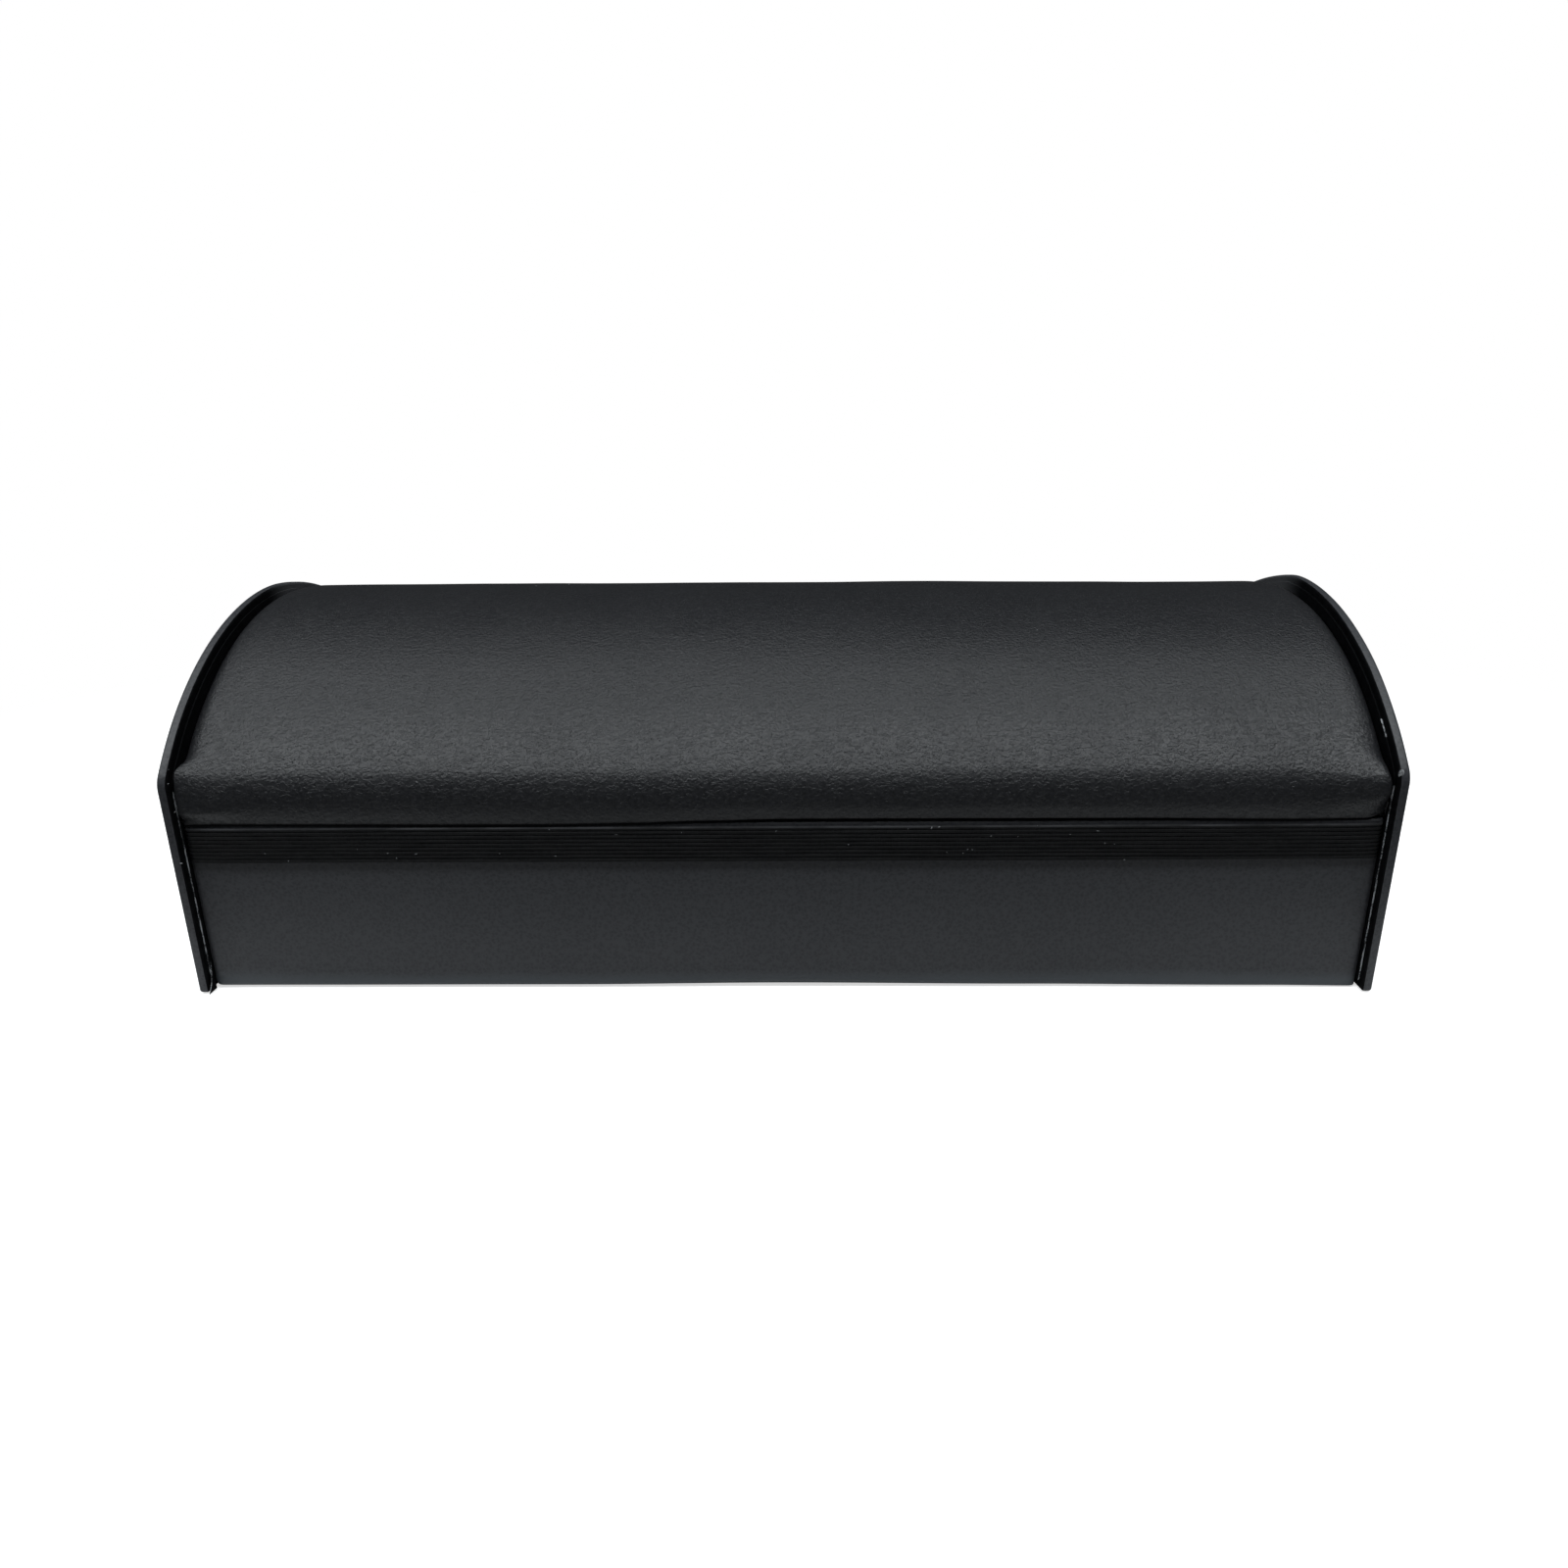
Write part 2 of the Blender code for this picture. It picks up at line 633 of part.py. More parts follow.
def seat_foam(mesh, under):
    """Closes the foam down to the lid board: each point of its underside lies on the profile under its own row."""
    bm = bmesh.new()
    bm.from_mesh(mesh)
    row_of = bm.verts.layers.int.new("row")
    columns = len(bm.verts) // len(under)
    for number, vert in enumerate(bm.verts):
        vert[row_of] = number // columns
    made = bmesh.ops.extrude_face_region(bm, geom=bm.faces[:])
    for vert in (v for v in made["geom"] if isinstance(v, bmesh.types.BMVert)):
        vert.co.y, vert.co.z = under[vert[row_of]]
    bm.verts.layers.int.remove(row_of)
    bmesh.ops.recalc_face_normals(bm, faces=bm.faces)
    bm.to_mesh(mesh)
    bm.free()


clear_scene()
PARTS = collection("bracelet_box")
CUTTERS = collection("cutters")
SIDES = ((-1, "left"), (1, "right"))

SATIN_BLACK = material("satin_black_leatherette", (0.026, 0.027, 0.030), 0.48)
GREYBOARD = material("black_greyboard", (0.045, 0.043, 0.042), 0.9)
VELVET = material("black_velvet", (0.012, 0.012, 0.013), 0.95)
FELT = material("black_felt", (0.02, 0.02, 0.02), 0.95)
FOAM = material("grey_foam", (0.35, 0.35, 0.36), 0.95)
ELASTIC = material("black_elastic", (0.010, 0.010, 0.011), 0.75)

BOX = empty("box", Vector((0, 0, 0)))
LID_PIVOT = empty("lid_pivot", Vector((0, FOLD_Y, FOLD_Z)))
BAND_SLIDE = empty("band_slide", Vector((0, -BAND_BACK, BAND_MIDDLE_Z)))
LID_PIVOT.parent = BOX
BAND_SLIDE.parent = BOX

PAD_PROFILE = pad_profile()
UNDER_PAD = under_pad_profile()

make_base()
for cheek_side, cheek_hand in SIDES:
    make_cheek(cheek_side, cheek_hand)
FRONT_WALL = make_wall(-1, "front")
make_wall(1, "rear")
cut_band_slots(FRONT_WALL)
make_tray_inside()
make_band()
make_hinge_flap()
make_lid_boards()
make_lid_lining()
make_lid_foam()
make_lid_cover()
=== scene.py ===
"""The looks of a black bracelet box: wrapped end cheeks, a padded domed lid, a ribbed band, a velvet tray.

Metres, +Z up, and the front faces -Y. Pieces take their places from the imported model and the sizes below.
"""

import json
import math

import bmesh
import bpy
from mathutils import Matrix, Vector, noise
from mathutils.geometry import interpolate_bezier


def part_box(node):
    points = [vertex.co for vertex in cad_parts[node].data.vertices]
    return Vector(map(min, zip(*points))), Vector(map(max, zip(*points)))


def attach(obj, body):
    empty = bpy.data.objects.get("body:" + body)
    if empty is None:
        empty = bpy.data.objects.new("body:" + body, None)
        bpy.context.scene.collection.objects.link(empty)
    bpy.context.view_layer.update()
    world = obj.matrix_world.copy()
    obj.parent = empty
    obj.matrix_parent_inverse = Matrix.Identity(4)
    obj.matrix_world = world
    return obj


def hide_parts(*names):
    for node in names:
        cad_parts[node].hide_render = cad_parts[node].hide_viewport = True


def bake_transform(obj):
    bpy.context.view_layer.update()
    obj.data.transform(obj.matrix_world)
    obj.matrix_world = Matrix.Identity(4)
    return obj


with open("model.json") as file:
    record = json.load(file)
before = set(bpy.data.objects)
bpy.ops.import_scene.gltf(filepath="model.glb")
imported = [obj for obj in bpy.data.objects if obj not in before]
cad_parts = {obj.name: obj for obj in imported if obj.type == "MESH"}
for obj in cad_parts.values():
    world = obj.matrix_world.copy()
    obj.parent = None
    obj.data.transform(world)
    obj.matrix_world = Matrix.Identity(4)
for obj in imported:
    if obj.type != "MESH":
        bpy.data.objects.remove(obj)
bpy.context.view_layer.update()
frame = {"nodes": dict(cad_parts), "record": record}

# Sheet stock
LEATHERETTE = 0.0003
GLUE_LINE = 0.0001
LID_COVER = 0.0004
LID_LINING = 0.0006
FOLD_THICKNESS = 0.00016

# End cheeks, and where their facing's raw edge shows, as (front or rear, lowest, highest)
DOME_RISE = 0.028
SHOULDER_RADIUS = 0.005
FOOT_RADIUS = 0.0007
RIM_ROUNDING = 0.00055
# Faces of a cheek's wrap that look inwards more than this take the near-black facing finish, as painted
# shade
RIM_LIT = 0.55
EDGE_UNEVENNESS = 0.00010
EDGE_WAVES = 70.0
CHEEK_STEPS = (8, 16, 48)
BOARD_ROUNDING = 0.0001
FACING_INSET = 0.0015
FACING_ROUNDING = 0.00004
REAR_DROP = {-1: 0.0006, 1: 0.0021}
REAR_DROP_REACH = 0.028
REAR_DROP_EASE = 0.0026
REAR_DROP_FADE = 0.022
RAW_STRETCHES = {
    -1: ((-1, 0.0103, 0.0287), (1, 0.0052, 0.0241)),
    1: ((-1, 0.0011, 0.0279), (-1, 0.0498, 0.0526), (1, 0.0031, 0.0195)),
}

# Padded lid
PAD_TOP_INSET = 0.0021
PAD_FRONT_INSET = 0.0005
PAD_MIDDLE_DRAW = 0.0008
PAD_DRAW_FADE = 0.014
PAD_THICKNESS = 0.0038
BELLY_LEAN = math.radians(78)
END_ROLL_LENGTH = 0.0052
END_ROLL_DROP = 0.42
EAR_ROLL_LENGTH = 0.0012
EAR_ROLL_DROP = {-1: 0.05, 1: 0.25}
EAR_HALF_WIDTH = {-1: 0.0080, 1: 0.0085}
EAR_RISE = {-1: 0.0024, 1: 0.0017}
EAR_REACH = {-1: 0.012, 1: 0.016}
END_FLAP_REACH = 1.25
SHOULDER_MIDDLE = 0.0105
SHOULDER_END = {-1: 0.0100, 1: 0.0056}
SHOULDER_FADE = 0.022
UNDER_SHOULDER = 0.0028
PAD_WAVES = ((28, 0.00022), (75, 0.00006))
CREST_REACH = 0.016
CREST_LIFT = ((-0.100, 0.0010), (0.0, 0.0007), (0.100, -0.0002))
SEAM_LINE = (
    (-0.112, -0.0004),
    (-0.043, -0.0008),
    (-0.028, -0.0005),
    (-0.013, 0.0),
    (0.002, 0.00035),
    (0.065, 0.0002),
    (0.098, -0.0002),
    (0.112, 0.0),
)
SEAM_LINE_REACH = 0.004
CUT_CORNER = 0.0034
CUT_CORNER_REACH = 0.0085

# Margin of the lid's cover under the lid board: how far out, and its share of the seam's wave
MARGIN_OUT = (0.0533, 0.0543, 0.0553, 0.0556)
MARGIN_FOLLOWS = (0.0, 0.1, 0.7, 0.9)
MARGIN_FLAP = 0.0006

# Facets of the padded lid
BELLY_STEPS = 14
CORNER_STEPS = 14
DOME_STEPS = 34
ROLL_STEPS = 9
LENGTH_STEPS = 96
LENGTH_EASE = 1.35

# Elastic band
BAND_RIBS = 9
FACETS_PER_RIB = 8
BAND_COLUMNS = 200
BAND_CORNER = 0.0009
BAND_CORNER_STEPS = 8
RIB_HEIGHT = 0.00024
# Width of the painted highlight along the band's upper edge
SELVEDGE_HIGHLIGHT = 0.0004
BAND_END_TUCK = 0.0002
BAND_END_RISE = {-1: 0.00015, 1: 0.00055}
BAND_END_FADE = 2.6
BAND_END_GAP = 0.0001

# Wall wraps, and the slots in the front one
WALL_WRAPPED = 0.0028
TURNED_OVER = 0.008
# How high the painted light on the walls' foot reaches
PAINTED_FOOT_LIGHT_HEIGHT = 0.0042
WALL_ROUNDING = 0.0006
WALL_WAVE = 0.00006
WALL_COLUMNS = 120
WALL_EASE = 1.8
WALL_CORNER_STEPS = 6
WALL_STRAIGHT_STEPS = (6, 20, 1, 5)
WALL_FOOT_ROUNDINGS = (
    (-0.112, 0.0017),
    (-0.040, 0.0018),
    (0.0, 0.0026),
    (0.049, 0.0018),
    (0.096, 0.0010),
    (0.112, 0.0006),
)
WALL_END_ROUNDING = 0.0011
WALL_END_DRAW = 0.55 * WALL_END_ROUNDING
SLOT_PAST_BAND = 0.0010
SLOT_DEPTH = 0.006
SLOT_CLEARANCE = 0.0001

# Fold at the left front foot, as (y, z) points of its free edge, and the pleat at the right shoulder
FOLD_EDGE = ((-0.0558, 0.0061), (-0.0562, 0.0032), (-0.0570, 0.0012), (-0.0583, 0.0002))
FOLD_ROOT = (-0.0555, 0.0001)
FOLD_ROUNDING = 0.00003
FOLD_STEPS = 12
PLEAT_PLACE = (0.1135, -0.0565, 0.0443)
PLEAT_SIZE = (0.0004, 0.0006, 0.0009)
PLEAT_PINCH = 0.35
PLEAT_GRID = (16, 12)

# How far a face looks along the box's length, where it is a sheet's cut edge and where it is flat
CUT_EDGE = 0.7
FLAT_FACE = 0.9999

# Specks of glue beside the cheeks, and lint: radius, pieces to the square metre, least and largest stretch
GLUE_SPECKS = (
    (-0.1131, -0.0554, 0.0461),
    (-0.1131, -0.0565, 0.0437),
    (-0.1131, -0.0562, 0.0380),
    (-0.1131, -0.0576, 0.0281),
    (0.1131, -0.0571, 0.0452),
)
SPECK_RADIUS = 0.00011
LINT_RADIUS = 0.00010
BAND_LINT = 15000.0
PAD_LINT = 700.0
FLAKE_STRETCH = ((0.6, 0.6, 0.6), (1.1, 1.1, 4.0))
FLAKE_TURN = 6.28
OUTER_FACE = 0.02

# Hinge strip
HINGE_PROUD = 0.00012
HINGE_COLUMNS = 60
HINGE_STEPS = 24
HINGE_LAP_STEPS = 9

# Cards, floor pad and lid lining
CARD_ROUNDING = 0.00045
FELT_ROUNDING = 0.00014
PAD_GRID = (64, 36)
PAD_EASE = 1.7
PAD_PULL = 0.004
PAD_EDGE_HEIGHT = 0.0014
PAD_WAVE = 0.00012
LINING_SHOULDER = 0.0011
LINING_CORNER_STEPS = 6
LINING_COLUMNS = 48
LINING_STEPS = 40
LINING_WAVE = 0.00005
LINING_WAVES = 30
END_LINING_SHOULDER = 0.0006
END_LINING_CORNER_STEPS = 4
END_LINING_ROUNDING = 0.0002

# Points closer than this are one point
MERGE = 1e-6

# Light: the floor's paleness beside the box and away from it, where it changes, a painted shadow across its
# middle, and its glow for the camera
FLOOR_NEAR = 0.90
FLOOR_MIDDLE_SHARE = 0.84
FLOOR_MIDDLE = (0.04, 0.13)
FLOOR_FAR = 0.06
FLOOR_EDGE = (0.012, 0.075)
FLOOR_GLOW = 0.62
FLOOR_SHADOW_EDGE = (0.03, 0.22)
FLOOR_DROP = 0.0002
ROOM_LEVEL = 0.03
ROOM_TINT = (0.92, 0.96, 1.0)
LAMP_TINT = (0.94, 0.98, 1.0)
LAMP_SIZE = (2.1, 0.2)
LAMP_AIM = (-0.22, 0, 0.03)
LAMPS = (("overhead", 9.6, (-0.22, -0.34, 0.84)), ("rear_overhead", 3.9, (-0.22, 0.10, 0.88)))

# The camera's fit to the photo's frame, where the focal length is in pixels of a 1600-pixel frame
CAMERA_FRAME = 1600
CAMERA_FOCUS = 1107.5
CAMERA_SENSOR = 36
CAMERA_PLACE = (0.00585, -0.24491, 0.10883)
CAMERA_PITCH = math.radians(19.25)
CAMERA_YAW = math.radians(1.32)
CAMERA_ROLL = math.radians(-0.74)


def node_box(name):
    """A node's lowest and highest corners as two vectors."""
    low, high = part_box(name)
    return Vector(low), Vector(high)


CHEEK_LOW, CHEEK_HIGH = node_box("right_cheek_cover")
HALF_LENGTH = CHEEK_HIGH.x
FACING_FACE = CHEEK_LOW.x - GLUE_LINE - LEATHERETTE
HALF_DEPTH = CHEEK_HIGH.y
HEIGHT = CHEEK_HIGH.z
DOME_RADIUS = (HALF_DEPTH**2 + DOME_RISE**2) / (2 * DOME_RISE)
DOME_CENTRE_Z = HEIGHT - DOME_RADIUS
WALL_LOW, WALL_HIGH = node_box("front_wall_cover")
WALL_FACE = -WALL_LOW.y
WALL_HEIGHT = WALL_HIGH.z
WALL_END = WALL_HIGH.x
WALL_FOOT = -WALL_HIGH.y
TURNED_INNER = WALL_FACE - WALL_WRAPPED
COVER_LOW, COVER_HIGH = node_box("lid_cover")
LID_END = COVER_HIGH.x
BOARD_LOW, BOARD_HIGH = node_box("lid_board")
LID_BOTTOM = BOARD_LOW.z
PAD_RADIUS = DOME_RADIUS - PAD_TOP_INSET
SEAM_Z = LID_BOTTOM - GLUE_LINE
UNDER_RADIUS = PAD_RADIUS - PAD_THICKNESS + GLUE_LINE
UNDER_FACE = BOARD_HIGH.y + GLUE_LINE
CREST_FOOT = HEIGHT - CREST_REACH
BAND_LOW, BAND_HIGH = node_box("band_middle")
SIDES = ((-1, "left"), (1, "right"))


def combines(operation, reflected=False):
    """An operator on sockets and numbers, which adds a Math node."""

    def combine(self, other):
        pair = (other, self) if reflected else (self, other)
        return self.owner.maths(operation, *pair)

    return combine


class Socket:
    """An output socket of a node tree, which adds Math nodes where it is used in a sum."""

    def __init__(self, owner, socket):
        self.owner = owner
        self.socket = socket

    __add__ = combines("ADD")
    __radd__ = combines("ADD", reflected=True)
    __sub__ = combines("SUBTRACT")
    __rsub__ = combines("SUBTRACT", reflected=True)
    __mul__ = combines("MULTIPLY")
    __rmul__ = combines("MULTIPLY", reflected=True)
    __truediv__ = combines("DIVIDE")
    __pow__ = combines("POWER")


class Tree:
    """A node tree, of a material, the room or a shape."""

    def __init__(self, tree):
        self.tree = tree

    def node(self, kind, settings=None, values=None, output=0):
        """Adds a node: its settings, then its sockets' numbers or links. Returns one of its outputs."""
        made = self.tree.nodes.new(kind)
        for name, value in (settings or {}).items():
            setattr(made, name, value)
        for key, value in (values or {}).items():
            self.feed(made.inputs[key], value)
        return Socket(self, made.outputs[output])

    def feed(self, target, value):
        if isinstance(value, Socket):
            self.tree.links.new(value.socket, target)
        elif hasattr(value, "__len__") and len(value) == 3 and target.type == "RGBA":
            target.default_value = (*value, 1)
        else:
            target.default_value = value

    def maths(self, operation, *numbers):
        return self.node("ShaderNodeMath", {"operation": operation}, dict(enumerate(numbers)))

    def vectors(self, operation, *vectors, output=0, **named):
        values = dict(enumerate(vectors)) | named
        return self.node("ShaderNodeVectorMath", {"operation": operation}, values, output)

    def axis(self, vector, number):
        """One of a vector's three numbers."""
        return self.node("ShaderNodeSeparateXYZ", None, {0: vector}, number)

    def between(self, value, low, high, to_low=0.0, to_high=1.0):
        """A value brought smoothly from one range to another."""
        values = {"Value": value, "From Min": low, "From Max": high, "To Min": to_low, "To Max": to_high}
        return self.node("ShaderNodeMapRange", {"interpolation_type": "SMOOTHSTEP"}, values)

    def seen_and_lit(self, output, lit, seen):
        """Ends the floor's or the room's tree: one shader lights the box, and the camera sees the other."""
        camera = self.node("ShaderNodeLightPath", output="Is Camera Ray")
        mix = self.node("ShaderNodeMixShader", None, {0: camera, 1: lit, 2: seen})
        self.feed(self.tree.nodes.new(output).inputs["Surface"], mix)


class Finish(Tree):
    """A material for one stuff of the box, on a Principled shader."""

    def __init__(self, name, **constants):
        self.material = bpy.data.materials.new(name)
        self.material.use_nodes = True
        super().__init__(self.material.node_tree)
        self.set(**constants)
        self.at = self.node("ShaderNodeTexCoord", output="Object")

    def set(self, **sockets):
        """Feeds the shader's own sockets."""
        shader = self.tree.nodes["Principled BSDF"]
        for name, value in sockets.items():
            self.feed(shader.inputs[name.replace("_", " ")], value)

    def noise(self, scale, detail=2.0, roughness=0.5, distortion=0.0, vector=None):
        values = {"Vector": vector or self.at, "Scale": scale, "Detail": detail}
        values |= {"Roughness": roughness, "Distortion": distortion}
        return self.node("ShaderNodeTexNoise", None, values)

    def streaks(self, x, y, z, **more):
        """Noise that is stretched along each axis."""
        stretched = self.node("ShaderNodeMapping", None, {"Vector": self.at, "Scale": (x, y, z)})
        return self.noise(1.0, vector=stretched, **more)

    def cells(self, scale):
        """The distance to the nearest of scattered cell centres."""
        return self.node("ShaderNodeTexVoronoi", None, {"Vector": self.at, "Scale": scale}, "Distance")

    def mixed(self, share, first, second):
        """A colour between two colours."""
        return self.node("ShaderNodeMix", {"data_type": "RGBA"}, {0: share, 6: first, 7: second}, 2)

    def end(self, colour, roughness, height, depth):
        """Feeds the shader its colour, roughness and fine relief, and gives the material."""
        relief = self.node("ShaderNodeBump", None, {"Height": height, "Distance": depth, "Strength": 1.0})
        self.set(Base_Color=colour, Roughness=roughness, Normal=relief)
        return self.material


class Shape(Tree):
    """A Geometry Nodes tree with named inputs, which a modifier on a piece works out."""

    def __init__(self, name, inputs):
        super().__init__(bpy.data.node_groups.new(name, "GeometryNodeTree"))
        for label, kind in ({"Geometry": "Geometry"} | inputs).items():
            self.tree.interface.new_socket(label, in_out="INPUT", socket_type="NodeSocket" + kind)
        self.tree.interface.new_socket("Geometry", in_out="OUTPUT", socket_type="NodeSocketGeometry")
        self.given = self.tree.nodes.new("NodeGroupInput")

    def input(self, label):
        return Socket(self, self.given.outputs[label])

    def vector(self, x=0.0, y=0.0, z=0.0):
        return self.node("ShaderNodeCombineXYZ", None, {0: x, 1: y, 2: z})

    def end(self, geometry):
        """Makes what is left real, gives it the finish and hands it out."""
        real = self.node("GeometryNodeRealizeInstances", None, {0: geometry})
        values = {"Geometry": real, "Material": self.input("Finish")}
        painted = self.node("GeometryNodeSetMaterial", None, values)
        self.feed(self.tree.nodes.new("NodeGroupOutput").inputs[0], painted)

    def work_out(self, piece, **values):
        """Runs the tree on a piece with these inputs, and makes the result the piece's own mesh."""
        modifier = piece.modifiers.new(self.tree.name, "NODES")
        modifier.node_group = self.tree
        for item in self.tree.interface.items_tree:
            label = item.name.replace(" ", "_").lower()
            if label in values:
                modifier[item.identifier] = values[label]
        return settle(piece)


def leatherette(name, tone, satin, grain=1.0, crease=1.0, waves=0.7, painted_foot_light=0.0):
    """Black coated cloth with a fine pebble grain, wrinkles, and faint creases where it is drawn tight."""
    made = Finish(name, IOR=1.42)
    pebbles = made.cells(1350.0)
    pores = made.between(made.cells(1050.0), 0.10, 0.26) * -1 + 1
    fine = made.noise(2400.0)
    patch = made.between(made.noise(42.0, detail=3.0), 0.40, 0.66)
    broad = made.noise(95.0)
    drawn = made.streaks(900.0, 170.0, 170.0, detail=3.0, distortion=0.4)
    creases = made.between(drawn, 0.52, 0.72) * patch
    short = made.streaks(850.0, 1500.0, 1500.0, detail=4.0, distortion=1.0)
    wrinkles = made.between(short, 0.48, 0.64)
    height = (1 - pebbles) * 0.9 * grain + fine * 0.8 * grain - creases * 0.5 * crease + broad * waves
    height = height - pores * 0.6 * grain + wrinkles * 0.58 * crease
    dark = tuple(c * tone for c in (0.0110, 0.0115, 0.0130))
    worn = tuple(c * tone for c in (0.0175, 0.0180, 0.0200))
    colour = made.mixed(made.between(fine * 0.7 + pebbles * 0.5, 0.35, 0.75), dark, worn)
    colour = made.mixed(pores * 0.6 * grain, colour, tuple(c * 0.4 for c in dark))
    rubbed_and_painted_light = made.between(short * 0.5 + fine * 0.5, 0.56, 0.66) * crease
    colour = made.mixed(rubbed_and_painted_light * 0.35, colour, tuple(c * 2.0 for c in worn))
    # Painted light: paler towards the wall's foot, standing in for the light that the floor throws on it
    if painted_foot_light:
        reach = PAINTED_FOOT_LIGHT_HEIGHT * (0.6 + 0.8 * made.streaks(22.0, 1.0, 1.0))
        lit_foot = 1 - made.between(made.axis(made.at, 2) / reach, 0.25, 1.0)
        colour = made.mixed(lit_foot * painted_foot_light, colour, (0.060, 0.068, 0.076))
    dull = made.between(made.noise(60.0, detail=4.0), 0.3, 0.7, satin, satin + 0.05) + patch * 0.015
    return made.end(colour, dull, height, 0.00006)


def facing_and_painted_shade():
    """The dull black sheet on the cheeks' inner sides, near black as partly painted shade, and paler along
    the rear of its dome as painted light.
    """
    made = Finish("facing_sheet", IOR=1.15)
    fibres = made.noise(900.0, detail=3.0, roughness=0.6)
    share = made.between(fibres, 0.35, 0.65)
    colour = made.mixed(share, (0.0014, 0.0015, 0.0019), (0.0034, 0.0036, 0.0044))
    depth = made.axis(made.at, 1)
    up = made.axis(made.at, 2) - DOME_CENTRE_Z
    from_centre = (depth * depth + up * up) ** 0.5
    # Painted light: paler along the rear of the dome's edge, where light falls on the inner face
    rubbed_and_painted_light = made.between(from_centre, DOME_RADIUS - 0.0060, DOME_RADIUS - 0.0035)
    colour = made.mixed(rubbed_and_painted_light * made.between(depth, -0.008, 0.004), colour, (0.070, 0.072, 0.076))
    return made.end(colour, made.between(fibres, 0.3, 0.7, 0.62, 0.74), fibres, 0.00005)


def elastic():
    """Black woven elastic: fine cross threads between its ribs, a painted highlight along its upper edge,
    and lint.
    """
    made = Finish("woven_elastic", IOR=1.3)
    threads = made.streaks(3600.0, 500.0, 700.0, detail=1.0)
    slubs = made.streaks(160.0, 900.0, 1500.0)
    lint = made.between(made.streaks(1500.0, 800.0, 800.0), 0.70, 0.80)
    share = made.between(threads, 0.35, 0.7)
    colour = made.mixed(share, (0.0022, 0.0023, 0.0027), (0.0052, 0.0054, 0.0062))
    colour = made.mixed(lint * 0.4, colour, (0.030, 0.030, 0.032))
    # Painted highlight: a paler strip along the band's upper edge, in patches, where the edge catches the
    # light
    shown = made.between(made.streaks(70.0, 1.0, 1.0, detail=3.0), 0.36, 0.60, 0.15, 0.8)
    height = made.axis(made.at, 2)
    edge = made.between(height, BAND_HIGH.z - SELVEDGE_HIGHLIGHT, BAND_HIGH.z - SELVEDGE_HIGHLIGHT / 2) * shown
    colour = made.mixed(edge, colour, (0.045, 0.046, 0.050))
    return made.end(colour, made.between(slubs, 0.3, 0.7, 0.62, 0.80), threads + slubs * 0.6, 0.00006)


def velvet():
    """Short black velvet, whose nap lies a little different from patch to patch."""
    made = Finish("short_velvet", Sheen_Weight=0.35, Sheen_Roughness=0.4)
    nap = made.noise(38.0, detail=3.0)
    pile = made.noise(4200.0, detail=1.0)
    share = made.between(nap, 0.35, 0.65)
    colour = made.mixed(share, (0.0060, 0.0060, 0.0068), (0.0110, 0.0110, 0.0122))
    return made.end(colour, made.between(pile, 0.3, 0.7, 0.86, 0.98), pile + nap * 0.5, 0.00012)


def felt():
    """Thin black felt with matted fibres."""
    made = Finish("thin_felt", Sheen_Weight=0.2)
    fibres = made.noise(1500.0, detail=4.0, roughness=0.7, distortion=1.2)
    colour = made.mixed(made.between(fibres, 0.35, 0.65), (0.010, 0.010, 0.011), (0.026, 0.026, 0.027))
    return made.end(colour, made.between(fibres, 0.3, 0.7, 0.88, 0.97), fibres, 0.0002)


def greyboard():
    """Black-dyed pressed board with flecks of fibre."""
    made = Finish("pressed_board")
    fibres = made.streaks(700.0, 1200.0, 1200.0, detail=3.0)
    colour = made.mixed(made.between(fibres, 0.4, 0.7), (0.018, 0.018, 0.018), (0.046, 0.045, 0.044))
    return made.end(colour, made.between(fibres, 0.3, 0.7, 0.85, 0.95), fibres, 0.0001)


def foam():
    """Grey open-cell foam."""
    made = Finish("open_cell_foam")
    cells = made.cells(1100.0)
    colour = made.mixed(made.between(cells, 0.1, 0.6), (0.12, 0.12, 0.125), (0.34, 0.34, 0.35))
    return made.end(colour, made.between(cells, 0.1, 0.6, 0.88, 0.96), cells, 0.0003)


def raw_edge():
    """The cut edge of leatherette: light backing cloth that shows in dashes between smears of glue."""
    made = Finish("raw_cut_edge")
    dashes = made.streaks(1500.0, 420.0, 420.0, detail=3.0, roughness=0.7)
    threads = made.noise(3500.0, detail=1.0)
    share = made.between(dashes * 0.7 + threads * 0.3, 0.42, 0.56)
    colour = made.mixed(share, (0.012, 0.013, 0.015), (0.42, 0.44, 0.46))
    return made.end(colour, made.between(threads, 0.3, 0.7, 0.75, 0.95), threads, 0.0001)


def flecks(name, dark, light):
    """Lint or dried glue: pale, dull and a little patchy."""
    made = Finish(name)
    patches = made.noise(2500.0)
    colour = made.mixed(made.between(patches, 0.35, 0.65), dark, light)
    return made.end(colour, made.between(patches, 0.3, 0.7, 0.7, 0.9), patches, 0.00005)


def linked(name, data):
    """A new object in the scene."""
    made = bpy.data.objects.new(name, data)
    bpy.context.scene.collection.objects.link(made)
    return made


def new_piece(name, mesh, finish):
    """An object at the origin with one finish."""
    mesh.materials.clear()
    mesh.materials.append(finish)
    return linked(name, mesh)


def take_place(piece, nodes, body):
    """Lets a piece stand for solids of the model, if any, and ride on their body."""
    if nodes:
        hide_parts(*nodes)
    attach(piece, body)


def finish_faces(piece, finish, chosen):
    """Gives a second finish to the chosen faces of a piece."""
    piece.data.materials.append(finish)
    for face in piece.data.polygons:
        face.material_index = 1 if chosen(face) else 0


def into_mesh(bm, name):
    mesh = bpy.data.meshes.new(name)
    bm.to_mesh(mesh)
    bm.free()
    return mesh


